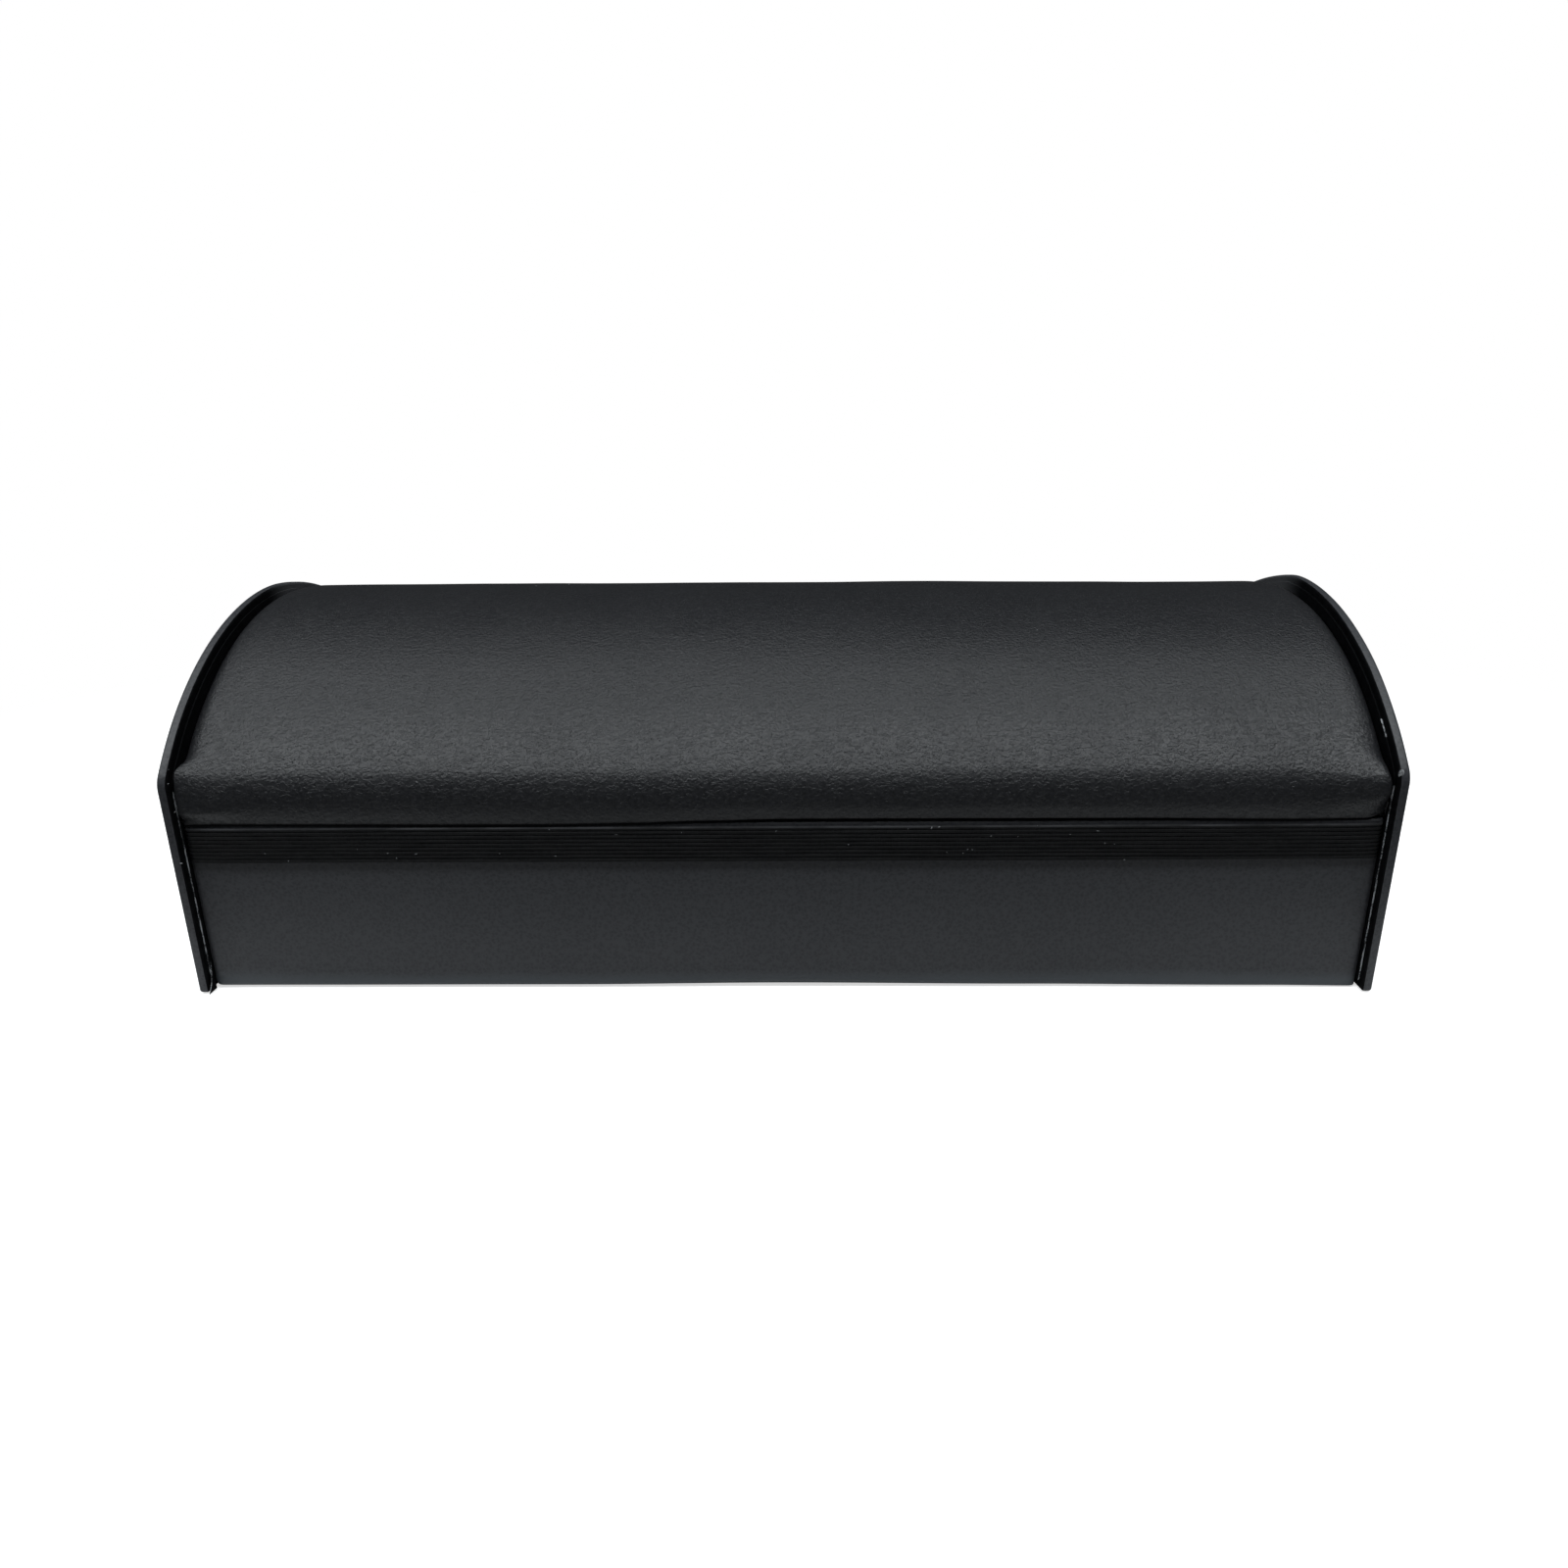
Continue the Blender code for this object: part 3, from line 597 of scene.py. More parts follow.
def block(name, low, high):
    """A block between two corners, from which a card or a cutter is made."""
    bm = bmesh.new()
    bmesh.ops.create_cube(bm, size=1)
    bmesh.ops.scale(bm, vec=high - low, verts=bm.verts)
    bmesh.ops.translate(bm, vec=(low + high) / 2, verts=bm.verts)
    return into_mesh(bm, name)


def joined(mesh):
    """A mesh for editing, with its seams joined and its faces turned outwards."""
    bm = bmesh.new()
    bm.from_mesh(mesh)
    bmesh.ops.remove_doubles(bm, verts=bm.verts, dist=MERGE)
    bmesh.ops.recalc_face_normals(bm, faces=bm.faces)
    return bm


def evaluated(piece):
    """A mesh of what a piece's curve or its modifiers make."""
    bpy.context.view_layer.update()
    graph = bpy.context.evaluated_depsgraph_get()
    return bpy.data.meshes.new_from_object(piece.evaluated_get(graph))


def settle(piece, angle=35):
    """Makes the evaluated shape the piece's own mesh, shaded smooth up to an angle."""
    finished = evaluated(piece)
    finished.name = piece.name
    piece.modifiers.clear()
    old = piece.data
    piece.data = finished
    if old.users == 0:
        bpy.data.meshes.remove(old)
    finished.shade_smooth()
    finished.set_sharp_from_angle(angle=math.radians(angle))
    return piece


def thicken(piece, thickness):
    """Gives an open sheet its thickness on the inner side, and makes the result its own mesh."""
    solidify = piece.modifiers.new("thickness", "SOLIDIFY")
    solidify.thickness = thickness
    solidify.offset = -1
    settle(piece)


def bent_sheet(name, columns, rows, place, finish, thickness=0):
    """A grid that place(column, row) bends into shape, thickened inwards where a thickness is given."""
    bm = bmesh.new()
    bmesh.ops.create_grid(bm, x_segments=columns, y_segments=rows, size=1)
    for vert in bm.verts:
        column = round((vert.co.x + 1) / 2 * columns)
        row = round((vert.co.y + 1) / 2 * rows)
        vert.co = place(column, row)
    piece = new_piece(name, into_mesh(bm, name), finish)
    if thickness:
        thicken(piece, thickness)
    return piece


def arc(centre, radius, start, end, steps):
    """Points along an arc, with angles counted from +Y towards +Z."""
    angles = [start + (end - start) * n / steps for n in range(steps + 1)]
    return [Vector((centre[0] + radius * math.cos(a), centre[1] + radius * math.sin(a))) for a in angles]


def rounded(path, radii, steps):
    """An open path of points, with each inner corner rounded by its radius."""
    points = [Vector(p) for p in path]
    made = [points[0]]
    for before, corner, after, radius in zip(points, points[1:], points[2:], radii):
        back = (before - corner).normalized()
        ahead = (after - corner).normalized()
        half = back.angle(ahead) / 2
        centre = corner + (back + ahead).normalized() * (radius / math.sin(half))
        start = corner + back * (radius / math.tan(half)) - centre
        turn = start.angle_signed(corner + ahead * (radius / math.tan(half)) - centre)
        made += [centre + Matrix.Rotation(-turn * n / steps, 2) @ start for n in range(steps + 1)]
    return made + [points[-1]]


def both_halves(front):
    """A front half of (y, z) points and its mirror image, from the front's lowest point to the rear's."""
    return front + [Vector((-p.x, p.y)) for p in reversed(front[:-1])]


def shoulder_and_dome(half_depth, radius, shoulder, corner_steps, dome_steps):
    """The front half of a domed profile above its upright face."""
    y = half_depth - shoulder
    rise = math.sqrt((radius - shoulder) ** 2 - y**2)
    lean = math.atan2(rise, y)
    corner = arc((-y, DOME_CENTRE_Z + rise), shoulder, math.pi, math.pi - lean, corner_steps)
    dome = arc((0, DOME_CENTRE_Z), radius, math.pi - lean, math.pi / 2, dome_steps)
    return corner + dome[1:]


def cheek_outline(side, inset):
    """The closed outline of an end cheek, drawn in by an inset. Behind its top the dome falls off faster."""
    foot_steps, shoulder_steps, dome_steps = CHEEK_STEPS
    half_depth = HALF_DEPTH - inset
    foot = (FOOT_RADIUS - half_depth, inset + FOOT_RADIUS)
    face = arc(foot, FOOT_RADIUS, 1.5 * math.pi, math.pi, foot_steps)
    shoulder = SHOULDER_RADIUS - inset / 2
    upper = shoulder_and_dome(half_depth, DOME_RADIUS - inset, shoulder, shoulder_steps, dome_steps)
    outline = both_halves(face + upper)
    for point in outline:
        if point.y > WALL_HEIGHT:
            behind = (point.x + math.hypot(point.x, REAR_DROP_EASE)) / 2
            share = 1 - (1 - min(behind / REAR_DROP_REACH, 1)) ** 2
            point.y -= REAR_DROP[side] * share * smoothstep((half_depth - abs(point.x)) / REAR_DROP_FADE)
    return outline


def thickness_and_middle(node):
    """How thick a node is along the box's length, and where its middle lies."""
    low, high = node_box(node)
    return high.x - low.x, (low.x + high.x) / 2


def rounded_plate(name, outline, thickness, middle, rounding, finish):
    """A plate square to the box's length with rounded edges, from a flat curve with a bevel."""
    curve = bpy.data.curves.new(name, "CURVE")
    curve.dimensions = "2D"
    curve.fill_mode = "BOTH"
    curve.extrude = thickness / 2 - rounding
    curve.bevel_depth = rounding
    curve.offset = -rounding
    curve.bevel_resolution = 4
    spline = curve.splines.new("POLY")
    spline.points.add(len(outline) - 1)
    for point, place in zip(spline.points, outline):
        point.co = (place.x, place.y, 0, 1)
    spline.use_cyclic_u = True
    drawn = linked(name + "_outline", curve)
    mesh = evaluated(drawn)
    bpy.data.objects.remove(drawn)
    mesh.transform(Matrix(((0, 0, 1, middle), (1, 0, 0, 0), (0, 1, 0, 0), (0, 0, 0, 1))))
    bm = joined(mesh)
    for face in bm.faces:
        face.smooth = abs(face.normal.x) < FLAT_FACE
    for edge in bm.edges:
        edge.smooth = len({face.smooth for face in edge.link_faces}) == 1
    bm.to_mesh(mesh)
    bm.free()
    return new_piece(name, mesh, finish)


def make_cheek(side, hand):
    """An end cheek: its wrap with crushed edges, its board, and the facing inside with its raw cut edge."""
    cover, board, facing = (hand + "_cheek_" + part for part in ("cover", "board", "facing"))
    outline = cheek_outline(side, 0)
    thickness, middle = thickness_and_middle(cover)
    wrap = rounded_plate(hand + "_cheek_wrap", outline, thickness, middle, RIM_ROUNDING, CHEEK_LEATHER)
    # The wrap's inner faces take the near-black facing finish: painted shade on the turned-in leatherette
    finish_faces(wrap, FACING_AND_PAINTED_SHADE, lambda face: -side * face.normal.x > RIM_LIT)
    give_unevenness(wrap)
    take_place(wrap, [cover], "base")

    outline = cheek_outline(side, LEATHERETTE + GLUE_LINE)
    thickness = thickness_and_middle(board)[0]
    core = rounded_plate(hand + "_cheek_core", outline, thickness, middle, BOARD_ROUNDING, GREYBOARD)
    take_place(core, [board], "base")

    outline = cheek_outline(side, FACING_INSET)
    place = thickness_and_middle(facing)
    sheet = rounded_plate(hand + "_facing_sheet", outline, *place, FACING_ROUNDING, FACING_AND_PAINTED_SHADE)
    finish_faces(sheet, RAW_EDGE, lambda face: abs(face.normal.x) < CUT_EDGE and is_raw(face.center, side))
    area = sum(a.cross(b) for a, b in zip(outline, outline[1:] + outline[:1])) / 2
    take_place(sheet, [facing], "base")


def cut_length(path):
    """The length of a path of points, which is how long a sheet that follows it was cut."""
    return sum((after - before).length for before, after in zip(path, path[1:]))


def is_raw(place, side):
    """Whether the facing's cut edge shows its light backing at this place."""
    facing_way = math.copysign(1, place.y)
    return any(facing_way == way and low < place.z < high for way, low, high in RAW_STRETCHES[side])


def give_unevenness(piece):
    """Moves a plate's edges a little in and out by smooth noise, and leaves its faces flat."""
    for vert in piece.data.vertices:
        outward = Vector((0, vert.normal.y, vert.normal.z))
        vert.co += outward * EDGE_UNEVENNESS * noise.noise(vert.co * EDGE_WAVES)


def pad_profile(shoulder, drawn_back=PAD_MIDDLE_DRAW):
    """The padded lid's outer profile for one shoulder radius: belly, shoulder, dome and back again."""
    face = HALF_DEPTH - PAD_FRONT_INSET - drawn_back
    upper = shoulder_and_dome(face, PAD_RADIUS, shoulder, CORNER_STEPS, DOME_STEPS)
    tuck = Vector((-WALL_FACE - LID_COVER, SEAM_Z))
    reach = (upper[0].y - tuck.y) / 3
    tuck_handle = tuck + Vector((-math.cos(BELLY_LEAN), math.sin(BELLY_LEAN))) * reach
    top_handle = upper[0] - Vector((0, reach))
    belly = interpolate_bezier(tuck, tuck_handle, top_handle, upper[0], BELLY_STEPS + 1)
    return both_halves([Vector(p[:2]) for p in belly[:-1]] + upper)


def under_profile():
    """The profile of the lid board, which the pad's ends roll down to, with as many points as the pad's."""
    upper = shoulder_and_dome(UNDER_FACE, UNDER_RADIUS, UNDER_SHOULDER, CORNER_STEPS, DOME_STEPS)
    low = LID_BOTTOM + LID_COVER
    face = [Vector((-UNDER_FACE, low + (upper[0].y - low) * n / BELLY_STEPS)) for n in range(BELLY_STEPS)]
    return both_halves(face + upper)


def smoothstep(value):
    value = min(max(value, 0), 1)
    return value * value * (3 - 2 * value)


def pad_stations():
    """The lid's stations along +X: (side, share of the way to the roll, the roll's angle, on the flap)."""
    roll = [(math.pi / 2) * (n / ROLL_STEPS) for n in range(1, ROLL_STEPS + 1)]
    middle = [2 * n / LENGTH_STEPS - 1 for n in range(LENGTH_STEPS + 1)]
    stations = [(-1, 1, angle, False) for angle in reversed(roll)]
    stations += [(math.copysign(1, s), ease_to_ends(abs(s), LENGTH_EASE), 0, False) for s in middle]
    stations += [(1, 1, angle, False) for angle in roll]
    return [(-1, 1, math.pi / 2, True)] + stations + [(1, 1, math.pi / 2, True)]


def ease_to_ends(across, power):
    """Draws places between -1 and 1 closer together towards the ends."""
    return math.copysign(1 - (1 - abs(across)) ** power, across)


def make_lid_cover():
    """The lid's cover over its pad, rolled down at both ends, with an ear at each shoulder."""
    stations = pad_stations()
    under = under_profile()
    ear_row = BELLY_STEPS + CORNER_STEPS - 3
    mirrored = len(under) - 1 - ear_row
    profiles = {}

    def profile_at(side, x):
        from_end = round(LID_END - abs(x), 5)
        if (side, from_end) not in profiles:
            ends = smoothstep(from_end / SHOULDER_FADE)
            radius = SHOULDER_END[side] + (SHOULDER_MIDDLE - SHOULDER_END[side]) * ends
            drawn_back = PAD_MIDDLE_DRAW * smoothstep(from_end / PAD_DRAW_FADE)
            profiles[side, from_end] = pad_profile(radius, drawn_back)
        return profiles[side, from_end]

    def place(column, row):
        side, share, angle, flap = stations[column]
        side = int(side)
        if row < len(MARGIN_OUT):
            length = EAR_ROLL_LENGTH
            x = side * ((LID_END - length) * share + length * 2 * angle / math.pi)
            follows = front_edge_shift(x, 0) * MARGIN_FOLLOWS[row]
            return Vector((x, -MARGIN_OUT[row], SEAM_Z - LID_COVER + follows + MARGIN_FLAP * flap))
        row -= len(MARGIN_OUT)
        base = profile_at(side, side * share * (LID_END - END_ROLL_LENGTH) if share < 1 else LID_END)
        ear = max(ear_share(base, row, ear_row, side), ear_share(base, row, mirrored, side))
        length = END_ROLL_LENGTH + (EAR_ROLL_LENGTH - END_ROLL_LENGTH) * ear
        drop = END_ROLL_DROP + (EAR_ROLL_DROP[side] - END_ROLL_DROP) * ear
        x = (LID_END - length) * share + length * math.sin(angle) * (share == 1)
        near_end = max(0, 1 - (LID_END - x) / EAR_REACH[side])
        outer = profile_at(side, x)[row] + Vector((0, EAR_RISE[side] * ear * near_end**2))
        outer.y += through_points(CREST_LIFT, side * x) * smoothstep((outer.y - CREST_FOOT) / CREST_REACH)
        if row < len(under) / 2:
            outer.y += front_edge_shift(side * x, outer.y - SEAM_Z)
        down = END_FLAP_REACH if flap else drop * (1 - math.cos(angle))
        at = outer.lerp(under[row], down)
        point = Vector((side * x, at.x, at.y))
        return point + pad_unevenness(point, row, len(under), angle)

    rows = len(MARGIN_OUT) + len(under)
    cover = bent_sheet("lid_cover_padded", len(stations) - 1, rows - 1, place, PAD_LEATHER, LID_COVER)
    take_place(cover, ["lid_cover", "lid_foam"], "lid")


def through_points(points, x):
    """A smooth line through chosen points, level beyond the first and the last."""
    for (x0, y0), (x1, y1) in zip(points, points[1:]):
        if x < x1:
            return y0 + (y1 - y0) * smoothstep((x - x0) / (x1 - x0))
    return points[-1][1]


def front_edge_shift(x, above_seam):
    """How far a point of the pad's front moves up: the seam's wavy line, and the drawn-up right corner."""
    wavy = through_points(SEAM_LINE, x) * (1 - smoothstep(above_seam / SEAM_LINE_REACH))
    into = min(max((x - (LID_END - CUT_CORNER)) / CUT_CORNER, 0), 1)
    corner = CUT_CORNER * (1 - math.sqrt(1 - into * into)) * max(0, 1 - above_seam / CUT_CORNER_REACH)
    return wavy + corner


def ear_share(profile, row, ear_row, side):
    """1 at an ear's row of the profile, and 0 from half an ear's width away."""
    away = (profile[row] - profile[ear_row]).length / EAR_HALF_WIDTH[side]
    return math.cos(min(away, 1) * math.pi / 2) ** 2


def pad_unevenness(point, row, rows, angle):
    """The slight waves of the foam under the cover, none at the seam's edges."""
    edge = min(row, rows - 1 - row) / BELLY_STEPS
    hold = min(edge, 1) * math.cos(angle)
    wave = sum(noise.noise(point * scale) * depth for scale, depth in PAD_WAVES)
    out = Vector((0, point.y, point.z - DOME_CENTRE_Z)).normalized()
    return out * wave * hold


def wall_path(foot_rounding):
    """A wall's wrap from under the base up, over the top edge and down inside, as (y, z) points."""
    corners = [
        (WALL_FOOT, 0),
        (WALL_FACE, 0),
        (WALL_FACE, WALL_HEIGHT),
        (TURNED_INNER, WALL_HEIGHT),
        (TURNED_INNER, WALL_HEIGHT - TURNED_OVER),
    ]
    radii = (foot_rounding, WALL_ROUNDING, WALL_ROUNDING)
    made = rounded([(-y, z) for y, z in corners], radii, WALL_CORNER_STEPS)
    path = []
    for number, (before, after) in enumerate(zip(made, made[1:])):
        straight, place = divmod(number, WALL_CORNER_STEPS + 1)
        count = WALL_STRAIGHT_STEPS[straight] if place == 0 else 1
        path += [before.lerp(after, n / count) for n in range(count)]
    return path + [made[-1]]


def make_wall_wrap(side, hand):
    """The leatherette wrap of the front or rear wall, drawn over its board with slight waves at its foot."""
    paths = {}
    half_length = FACING_FACE - GLUE_LINE / 2

    def place(column, row):
        x = ease_to_ends(2 * column / WALL_COLUMNS - 1, WALL_EASE) * half_length
        if column not in paths:
            paths[column] = wall_path(through_points(WALL_FOOT_ROUNDINGS, x))
            if side > 0:
                paths[column] = [Vector((-p.x, p.y)) for p in reversed(paths[column])]
        p = paths[column][row]
        face = smoothstep((abs(p.x) - TURNED_INNER) / (WALL_FACE - TURNED_INNER))
        wave = noise.noise(Vector((x * 34, side * 3, p.y * 40))) * WALL_WAVE
        into = max(0, 1 - (half_length - abs(x)) / WALL_END_ROUNDING)
        drawn_in = WALL_END_DRAW * (1 - math.sqrt(1 - into * into))
        return Vector((x, p.x - side * (wave + drawn_in) * face, p.y))

    rows = len(wall_path(WALL_ROUNDING)) - 1
    wrap = bent_sheet(hand + "_wall_wrap", WALL_COLUMNS, rows, place, WALL_LEATHER, LEATHERETTE)
    if side < 0:
        cut_slots(wrap)
    cut_length(wall_path(WALL_ROUNDING))
    take_place(wrap, [hand + "_wall_cover"], "base")


def cut_slots(wrap):
    """Opens the wrap at each end of the front wall, where the band turns in."""
    low, high = node_box("right_band_end")
    half_length = WALL_END - high.x + SLOT_PAST_BAND
    half = Vector((half_length, SLOT_DEPTH / 2, (high.z - low.z + SLOT_CLEARANCE) / 2))
    for side in (-1, 1):
        middle = Vector((side * WALL_END, -(WALL_FACE + TURNED_INNER) / 2, (high.z + low.z) / 2))
        slot = linked("slot", block("slot", middle - half, middle + half))
        boolean = wrap.modifiers.new("slot", "BOOLEAN")
        boolean.object = slot
        boolean.solver = "EXACT"
        settle(wrap)
        bpy.data.objects.remove(slot)


def make_foot_fold():
    """The wrap's loose fold between the left front foot and the wall, with its light cut edge."""
    edge = interpolate_bezier(*[Vector(p) for p in FOLD_EDGE], FOLD_STEPS)
    outline = [Vector(p[:2]) for p in edge] + [Vector(FOLD_ROOT)]
    middle = FOLD_THICKNESS - FACING_FACE
    fold = rounded_plate("left_foot_fold", outline, FOLD_THICKNESS, middle, FOLD_ROUNDING, FACING_AND_PAINTED_SHADE)
    finish_faces(fold, RAW_EDGE, lambda face: abs(face.normal.x) < CUT_EDGE)
    take_place(fold, [], "base")


def make_pleat():
    """The small pinched pleat of the wrap at the right cheek's shoulder, in the pale glue finish as a
    painted highlight on the fold.
    """
    columns, rows = PLEAT_GRID

    def place(column, row):
        turn = 2 * math.pi * column / columns
        rise = math.pi * (row / rows)
        pinch = 1 + PLEAT_PINCH * math.cos(2 * turn)
        at = (math.sin(rise) * math.cos(turn) * pinch, math.sin(rise) * math.sin(turn), -math.cos(rise))
        return Vector(PLEAT_PLACE) + Vector(at) * Vector(PLEAT_SIZE)

    pleat = bent_sheet("right_shoulder_pleat", columns, rows, place, GLUE_AND_HIGHLIGHT)
    bm = joined(pleat.data)
    bm.to_mesh(pleat.data)
    bm.free()
    settle(pleat, 60)
    take_place(pleat, [], "base")


def speck_shape():
    """Small flakes at a mesh's points, or scattered over its outer faces where a density is given."""
    shape = Shape("specks", {"Radius": "Float", "Density": "Float", "Seed": "Int", "Finish": "Material"})
    given = shape.input("Geometry")
    density = shape.input("Density")
    place = shape.node("GeometryNodeInputPosition")
    normal = shape.node("GeometryNodeInputNormal")
    outward = shape.vectors("DOT_PRODUCT", place, normal, output="Value")
    outer = shape.maths("GREATER_THAN", outward, OUTER_FACE)
    values = {"Mesh": given, "Selection": outer, "Density": density, "Seed": shape.input("Seed")}
    scattered = shape.node("GeometryNodeDistributePointsOnFaces", None, values)
    at_points = shape.node("GeometryNodeMeshToPoints", None, {"Mesh": given})
    values = {"Switch": shape.maths("GREATER_THAN", density, 0.0), "False": at_points, "True": scattered}
    points = shape.node("GeometryNodeSwitch", {"input_type": "GEOMETRY"}, values)
    values = {"Radius": shape.input("Radius"), "Subdivisions": 2}
    flake = shape.node("GeometryNodeMeshIcoSphere", None, values)
    vectors = {"data_type": "FLOAT_VECTOR"}
    size = shape.node("FunctionNodeRandomValue", vectors, dict(enumerate(FLAKE_STRETCH)))
    turn = shape.node("FunctionNodeRandomValue", vectors, {0: (0,) * 3, 1: (FLAKE_TURN,) * 3})
    values = {"Points": points, "Instance": flake, "Rotation": turn, "Scale": size}
    shape.end(shape.node("GeometryNodeInstanceOnPoints", None, values))
    return shape


def make_specks():
    """Glue specks beside the cheeks, and lint on the band and the pad."""
    shape = speck_shape()
    mesh = bpy.data.meshes.new("glue_specks")
    mesh.from_pydata(GLUE_SPECKS, [], [])
    glue = new_piece("glue_specks", mesh, GLUE_AND_HIGHLIGHT)
    shape.work_out(glue, radius=SPECK_RADIUS, density=0.0, seed=1, finish=GLUE_AND_HIGHLIGHT)
    take_place(glue, [], "base")
    pad = bpy.data.objects["lid_cover_padded"]
    lint = new_piece("lid_lint", pad.data.copy(), LINT)
    shape.work_out(lint, radius=LINT_RADIUS, density=PAD_LINT, seed=3, finish=LINT)
    take_place(lint, [], "lid")
    for side, hand in SIDES:
        band = bpy.data.objects[hand + "_elastic_band"]
        lint = new_piece(hand + "_band_lint", band.data.copy(), LINT)
        shape.work_out(lint, radius=LINT_RADIUS, density=BAND_LINT, seed=5 + side, finish=LINT)
        blend_like_band(lint)


def blend_like_band(piece):
    """Bakes a piece's place into its own mesh."""
    low, high = node_box("right_band_run")
    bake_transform(piece)


def ribbed_band_shape():
    """A band that stands along a path: a grid whose columns follow the path, pushed out into ribs."""
    lengths = ("Width", "Thickness", "Rib Height", "End Rise", "Side")
    shape = Shape("ribbed_band", dict.fromkeys(lengths, "Float") | {"Ribs": "Int", "Finish": "Material"})
    ribs = shape.input("Ribs")
    rows = ribs * FACETS_PER_RIB + 1
    values = {"Size X": 1.0, "Size Y": 1.0, "Vertices X": BAND_COLUMNS, "Vertices Y": rows}
    grid = shape.node("GeometryNodeMeshGrid", None, values)
    flat = shape.node("GeometryNodeInputPosition")
    along = shape.axis(flat, 0) + 0.5
    up = shape.axis(flat, 1) + 0.5
    path = shape.node("GeometryNodeMeshToCurve", None, {"Mesh": shape.input("Geometry")})
    settings = {"mode": "FACTOR", "use_all_curves": True}
    sampled = {"Curves": path, "Factor": along**2}
    place = shape.node("GeometryNodeSampleCurve", settings, sampled, "Position")
    tangent = Socket(shape, place.socket.node.outputs["Tangent"])
    outward = shape.vectors("CROSS_PRODUCT", tangent, shape.vector(z=0 - shape.input("Side")))
    rib = shape.maths("ABSOLUTE", shape.maths("SINE", up * ribs * math.pi))
    depth = shape.input("Thickness") - shape.input("Rib Height") * (1 - rib)
    pushed = shape.vectors("SCALE", outward, Scale=depth)
    end = shape.maths("MAXIMUM", 1 - along * BAND_END_FADE, 0.0) ** 2
    height = (up - 0.5) * shape.input("Width") + end * shape.input("End Rise")
    placed = shape.vectors("ADD", shape.vectors("ADD", place, pushed), shape.vector(z=height))
    shape.end(shape.node("GeometryNodeSetPosition", None, {"Geometry": grid, "Position": placed}))
    return shape


def make_band_half(shape, side, hand):
    """Half of the elastic band, from its glued end inside the slot, round the wall's end, to the middle."""
    low, high = node_box("right_band_end")
    thickness = BAND_HIGH.y - BAND_LOW.y
    back = BAND_HIGH.y
    end_x = FACING_FACE - BAND_END_GAP - thickness
    corners = [(end_x, high.y - BAND_END_TUCK), (end_x, back), (0, back)]
    path = rounded(corners, (BAND_CORNER,), BAND_CORNER_STEPS)
    if side < 0:
        path = [Vector((-p.x, p.y)) for p in path]
    mesh = bpy.data.meshes.new(hand + "_band_path")
    middle_z = (BAND_LOW.z + BAND_HIGH.z) / 2
    mesh.from_pydata([(p.x, p.y, middle_z) for p in path], [(n, n + 1) for n in range(len(path) - 1)], [])
    band = new_piece(hand + "_elastic_band", mesh, ELASTIC)
    width = BAND_HIGH.z - BAND_LOW.z
    sizes = {"width": width, "thickness": thickness, "ribs": BAND_RIBS, "rib_height": RIB_HEIGHT}
    shape.work_out(band, **sizes, end_rise=BAND_END_RISE[side], side=float(side), finish=ELASTIC)
    face_outwards(band)
    thicken(band, thickness - RIB_HEIGHT)
    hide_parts(hand + "_band_end", hand + "_band_run", "band_middle")
    blend_like_band(band)


def face_outwards(band):
    """Turns an open band's faces so that its middle looks to the front."""
    face = min(band.data.polygons, key=lambda f: abs(f.center.x))
    if face.normal.y > 0:
        band.data.flip_normals()


def make_hinge_strip():
    """The leatherette hinge: glued down the rear wall, over the fold, and up under the lid's rear edge."""
    low, high = node_box("hinge_flap")
    rear_rows = pad_profile(SHOULDER_MIDDLE)[::-1]
    lap = [p + Vector((HINGE_PROUD, 0)) for p in rear_rows[:HINGE_LAP_STEPS]]
    rise = SEAM_Z - low.z
    path = [Vector((high.y, low.z + rise * n / HINGE_STEPS)) for n in range(HINGE_STEPS)] + lap

    def place(column, row):
        return Vector(((1 - 2 * column / HINGE_COLUMNS) * high.x, path[row].x, path[row].y))

    strip = bent_sheet("hinge_strip", HINGE_COLUMNS, len(path) - 1, place, WALL_LEATHER, high.y - low.y)
    cut_length(path)
    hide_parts("hinge_flap")
    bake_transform(strip)


def make_card(name, finish, rounding, steps):
    """A velvet or felt card in its node's place: a block with rounded edges."""
    card = new_piece(name + "_cloth", block(name + "_cloth", *node_box(name)), finish)
    bevel = card.modifiers.new("rounding", "BEVEL")
    bevel.width = rounding
    bevel.segments = steps
    bevel.limit_method = "NONE"
    settle(card, 60)
    take_place(card, [name], "base")
    return card


def make_floor_pad():
    """The pad on the tray's floor: crowned foam under velvet, with its edges drawn down."""
    low, high = node_box("tray_floor_pad")
    columns, rows = PAD_GRID

    def place(column, row):
        u = ease_to_ends(2 * column / columns - 1, PAD_EASE)
        v = ease_to_ends(2 * row / rows - 1, PAD_EASE)
        crown = (1 - abs(u) ** 9) * (1 - abs(v) ** 5)
        pulled = 1 - PAD_PULL * (1 - u * u) * (1 - v * v)
        wave = noise.noise(Vector((u * 4, v * 2.2, 0))) * PAD_WAVE
        edge = low.z + PAD_EDGE_HEIGHT
        z = edge + (high.z - edge) * (crown * 0.86 + 0.14 * crown**3) + wave * crown
        return Vector((u * high.x * pulled, v * high.y * pulled, z))

    pad = bent_sheet("tray_floor_pad_velvet", columns, rows, place, VELVET)
    close_to_floor(pad, low.z)
    take_place(pad, ["tray_floor_pad"], "base")


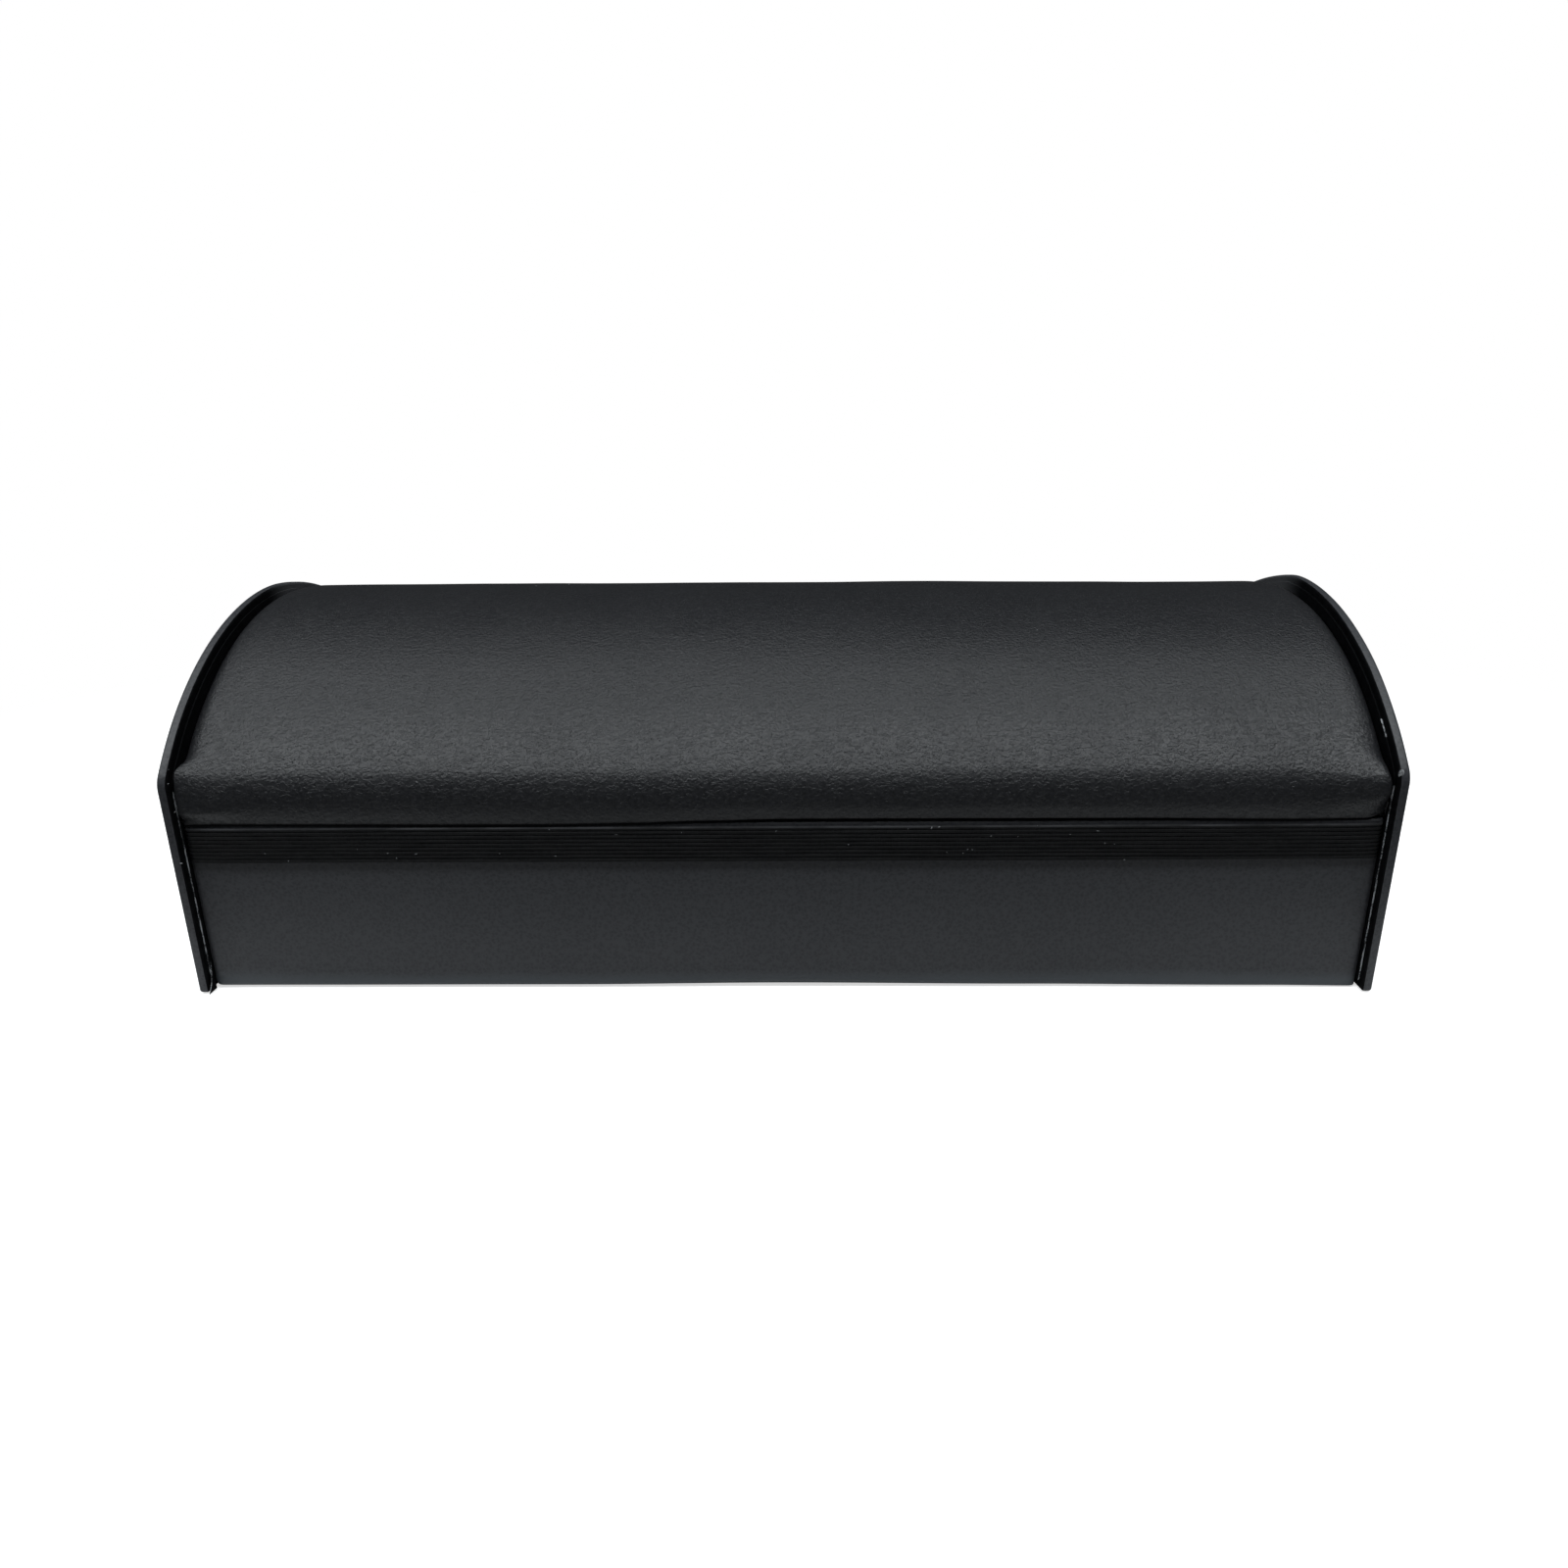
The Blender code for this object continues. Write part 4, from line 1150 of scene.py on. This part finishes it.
def close_to_floor(piece, floor_z):
    """Closes an open cushion top with an upright rim and a flat underside."""
    bm = bmesh.new()
    bm.from_mesh(piece.data)
    rim = [edge for edge in bm.edges if edge.is_boundary]
    made = bmesh.ops.extrude_edge_only(bm, edges=rim)
    for item in made["geom"]:
        if isinstance(item, bmesh.types.BMVert):
            item.co.z = floor_z
    bmesh.ops.contextual_create(bm, geom=[edge for edge in bm.edges if edge.is_boundary])
    bmesh.ops.recalc_face_normals(bm, faces=bm.faces)
    bm.to_mesh(piece.data)
    bm.free()
    settle(piece, 50)


def domed_outline(node, shoulder, corner_steps):
    """The domed profile of a lining in its node's place, from foot to foot."""
    low, high = node_box(node)
    upper = shoulder_and_dome(high.y, high.z - DOME_CENTRE_Z, shoulder, corner_steps, LINING_STEPS)
    return both_halves([Vector((-high.y, low.z))] + upper)


def make_lid_lining():
    """The velvet under the dome: one smooth bent sheet, and a card at each end."""
    half_length = node_box("lid_lining")[1].x
    path = domed_outline("lid_lining", LINING_SHOULDER, LINING_CORNER_STEPS)

    def place(column, row):
        at = Vector(((2 * column / LINING_COLUMNS - 1) * half_length, path[row].x, path[row].y))
        at.z -= abs(noise.noise(at * LINING_WAVES) * LINING_WAVE)
        return at

    lining = bent_sheet("lid_lining_velvet", LINING_COLUMNS, len(path) - 1, place, VELVET, LID_LINING)
    cut_length(path)
    take_place(lining, ["lid_lining"], "lid")
    for hand in ("left", "right"):
        name = hand + "_lid_end_lining"
        outline = domed_outline(name, END_LINING_SHOULDER, END_LINING_CORNER_STEPS)
        place = thickness_and_middle(name)
        card = rounded_plate(name + "_velvet", outline, *place, END_LINING_ROUNDING, VELVET)
        take_place(card, [name], "lid")


def finish_solids():
    """Gives every solid of the model the finish of its slot, for those that no piece replaces."""
    finishes = {
        "greyboard": GREYBOARD,
        "velvet": VELVET,
        "felt": FELT,
        "foam": FOAM,
        "elastic": ELASTIC,
        "leatherette": WALL_LEATHER,
    }
    slots = {row["node"]: row["material_slot"] for row in frame["record"]["subparts"]}
    for name, node in frame["nodes"].items():
        node.data.materials.clear()
        node.data.materials.append(finishes[slots[name]])


def area_light(name, power, place):
    """A long soft lamp above the box."""
    lamp = bpy.data.lights.new(name, "AREA")
    lamp.shape = "RECTANGLE"
    lamp.size, lamp.size_y = LAMP_SIZE
    lamp.energy = power
    lamp.color = LAMP_TINT
    made = linked(name, lamp)
    made.location = place
    made.rotation_euler = (Vector(LAMP_AIM) - Vector(place)).to_track_quat("-Z", "Y").to_euler()


def empty_tree(owner):
    """The cleared node tree of the floor's material or of the room."""
    owner.use_nodes = True
    owner.node_tree.nodes.clear()
    return Tree(owner.node_tree)


def make_floor():
    """A plain floor that the camera sees as white with the box's shadow, and that lights the box."""
    bm = bmesh.new()
    bmesh.ops.create_grid(bm, x_segments=1, y_segments=1, size=4)
    pale = bpy.data.materials.new("pale_floor")
    tree = empty_tree(pale)
    size = tree.vectors("ABSOLUTE", tree.node("ShaderNodeTexCoord", output="Object"))
    past = tree.vectors("SUBTRACT", size, (HALF_LENGTH, HALF_DEPTH, 0))
    away = tree.vectors("LENGTH", tree.vectors("MAXIMUM", past, (0, 0, 0)), output="Value")
    tone = tree.between(away, *FLOOR_EDGE, FLOOR_NEAR, FLOOR_FAR)
    # Painted shadow: the floor is darker across its middle in the light it throws back
    tone = tone * tree.between(tree.axis(size, 0), *FLOOR_MIDDLE, FLOOR_MIDDLE_SHARE, 1.0)
    lit = tree.node("ShaderNodeBsdfDiffuse", None, {"Color": tone})
    shadowed = tree.node("ShaderNodeBsdfDiffuse", None, {"Color": (1, 1, 1)})
    glow = tree.node("ShaderNodeEmission", None, {"Color": (1, 1, 1), "Strength": FLOOR_GLOW})
    near = tree.node("ShaderNodeAddShader", None, {0: shadowed, 1: glow})
    white = tree.node("ShaderNodeEmission", None, {"Color": (1, 1, 1), "Strength": 1.0})
    values = {0: tree.between(away, *FLOOR_SHADOW_EDGE), 1: near, 2: white}
    tree.seen_and_lit("ShaderNodeOutputMaterial", lit, tree.node("ShaderNodeMixShader", None, values))
    floor = new_piece("floor", into_mesh(bm, "floor"), pale)
    floor.location.z = -FLOOR_DROP


def make_room():
    """A dim room that the camera sees as white, and two long soft lamps overhead."""
    room = bpy.data.worlds.new("soft_room")
    bpy.context.scene.world = room
    tree = empty_tree(room)
    dim = tree.node("ShaderNodeBackground", None, {"Color": ROOM_TINT, "Strength": ROOM_LEVEL})
    white = tree.node("ShaderNodeBackground", None, {"Color": (1, 1, 1), "Strength": 1.0})
    tree.seen_and_lit("ShaderNodeOutputWorld", dim, white)
    for name, power, place in LAMPS:
        area_light(name, power, place)


def make_camera():
    """The camera, fitted to the photographed view: over a quarter of a metre away, and pitched down."""
    data = bpy.data.cameras.new("camera")
    data.sensor_width = CAMERA_SENSOR
    data.lens = CAMERA_SENSOR * CAMERA_FOCUS / CAMERA_FRAME
    data.clip_start = 0.01
    made = linked("camera", data)
    made.location = CAMERA_PLACE
    level = Matrix.Rotation(CAMERA_YAW, 3, "Z") @ Matrix.Rotation(math.pi / 2 - CAMERA_PITCH, 3, "X")
    made.rotation_euler = (level @ Matrix.Rotation(CAMERA_ROLL, 3, "Z")).to_euler()
    bpy.context.scene.camera = made


# One leatherette in three tones: the pad's tone, lower than the walls', is partly painted shade for the dark
# belly under its roll
PAD_LEATHER = leatherette("pad_leatherette", 1.0, 0.35)
WALL_LEATHER = leatherette("wall_leatherette", 2.2, 0.42, grain=0.3, crease=0.0, waves=0.15, painted_foot_light=1.0)
CHEEK_LEATHER = leatherette("cheek_leatherette", 2.6, 0.38, grain=0.6, crease=0.0, waves=0.3)
FACING_AND_PAINTED_SHADE = facing_and_painted_shade()
RAW_EDGE = raw_edge()
ELASTIC = elastic()
VELVET = velvet()
FELT = felt()
GREYBOARD = greyboard()
FOAM = foam()
# Pale flecks: dried glue for the specks, and a painted highlight on the right shoulder's pleat
GLUE_AND_HIGHLIGHT = flecks("dried_glue", (0.10, 0.105, 0.11), (0.30, 0.31, 0.32))
LINT = flecks("pale_lint", (0.11, 0.114, 0.119), (0.28, 0.287, 0.300))

finish_solids()
for cheek_side, cheek_hand in SIDES:
    make_cheek(cheek_side, cheek_hand)
make_lid_cover()
make_wall_wrap(-1, "front")
make_wall_wrap(1, "rear")
band_shape = ribbed_band_shape()
for band_side, band_hand in SIDES:
    make_band_half(band_shape, band_side, band_hand)
make_foot_fold()
make_pleat()
make_specks()
make_hinge_strip()
for lining_hand in ("front", "rear", "left", "right"):
    make_card(lining_hand + "_tray_lining", VELVET, CARD_ROUNDING, 3)
felt_piece = make_card("base_felt", FELT, FELT_ROUNDING, 2)
felt_low, felt_high = node_box("base_felt")
make_floor_pad()
make_lid_lining()
make_floor()
make_room()
make_camera()
bpy.context.scene.view_settings.view_transform = "Standard"
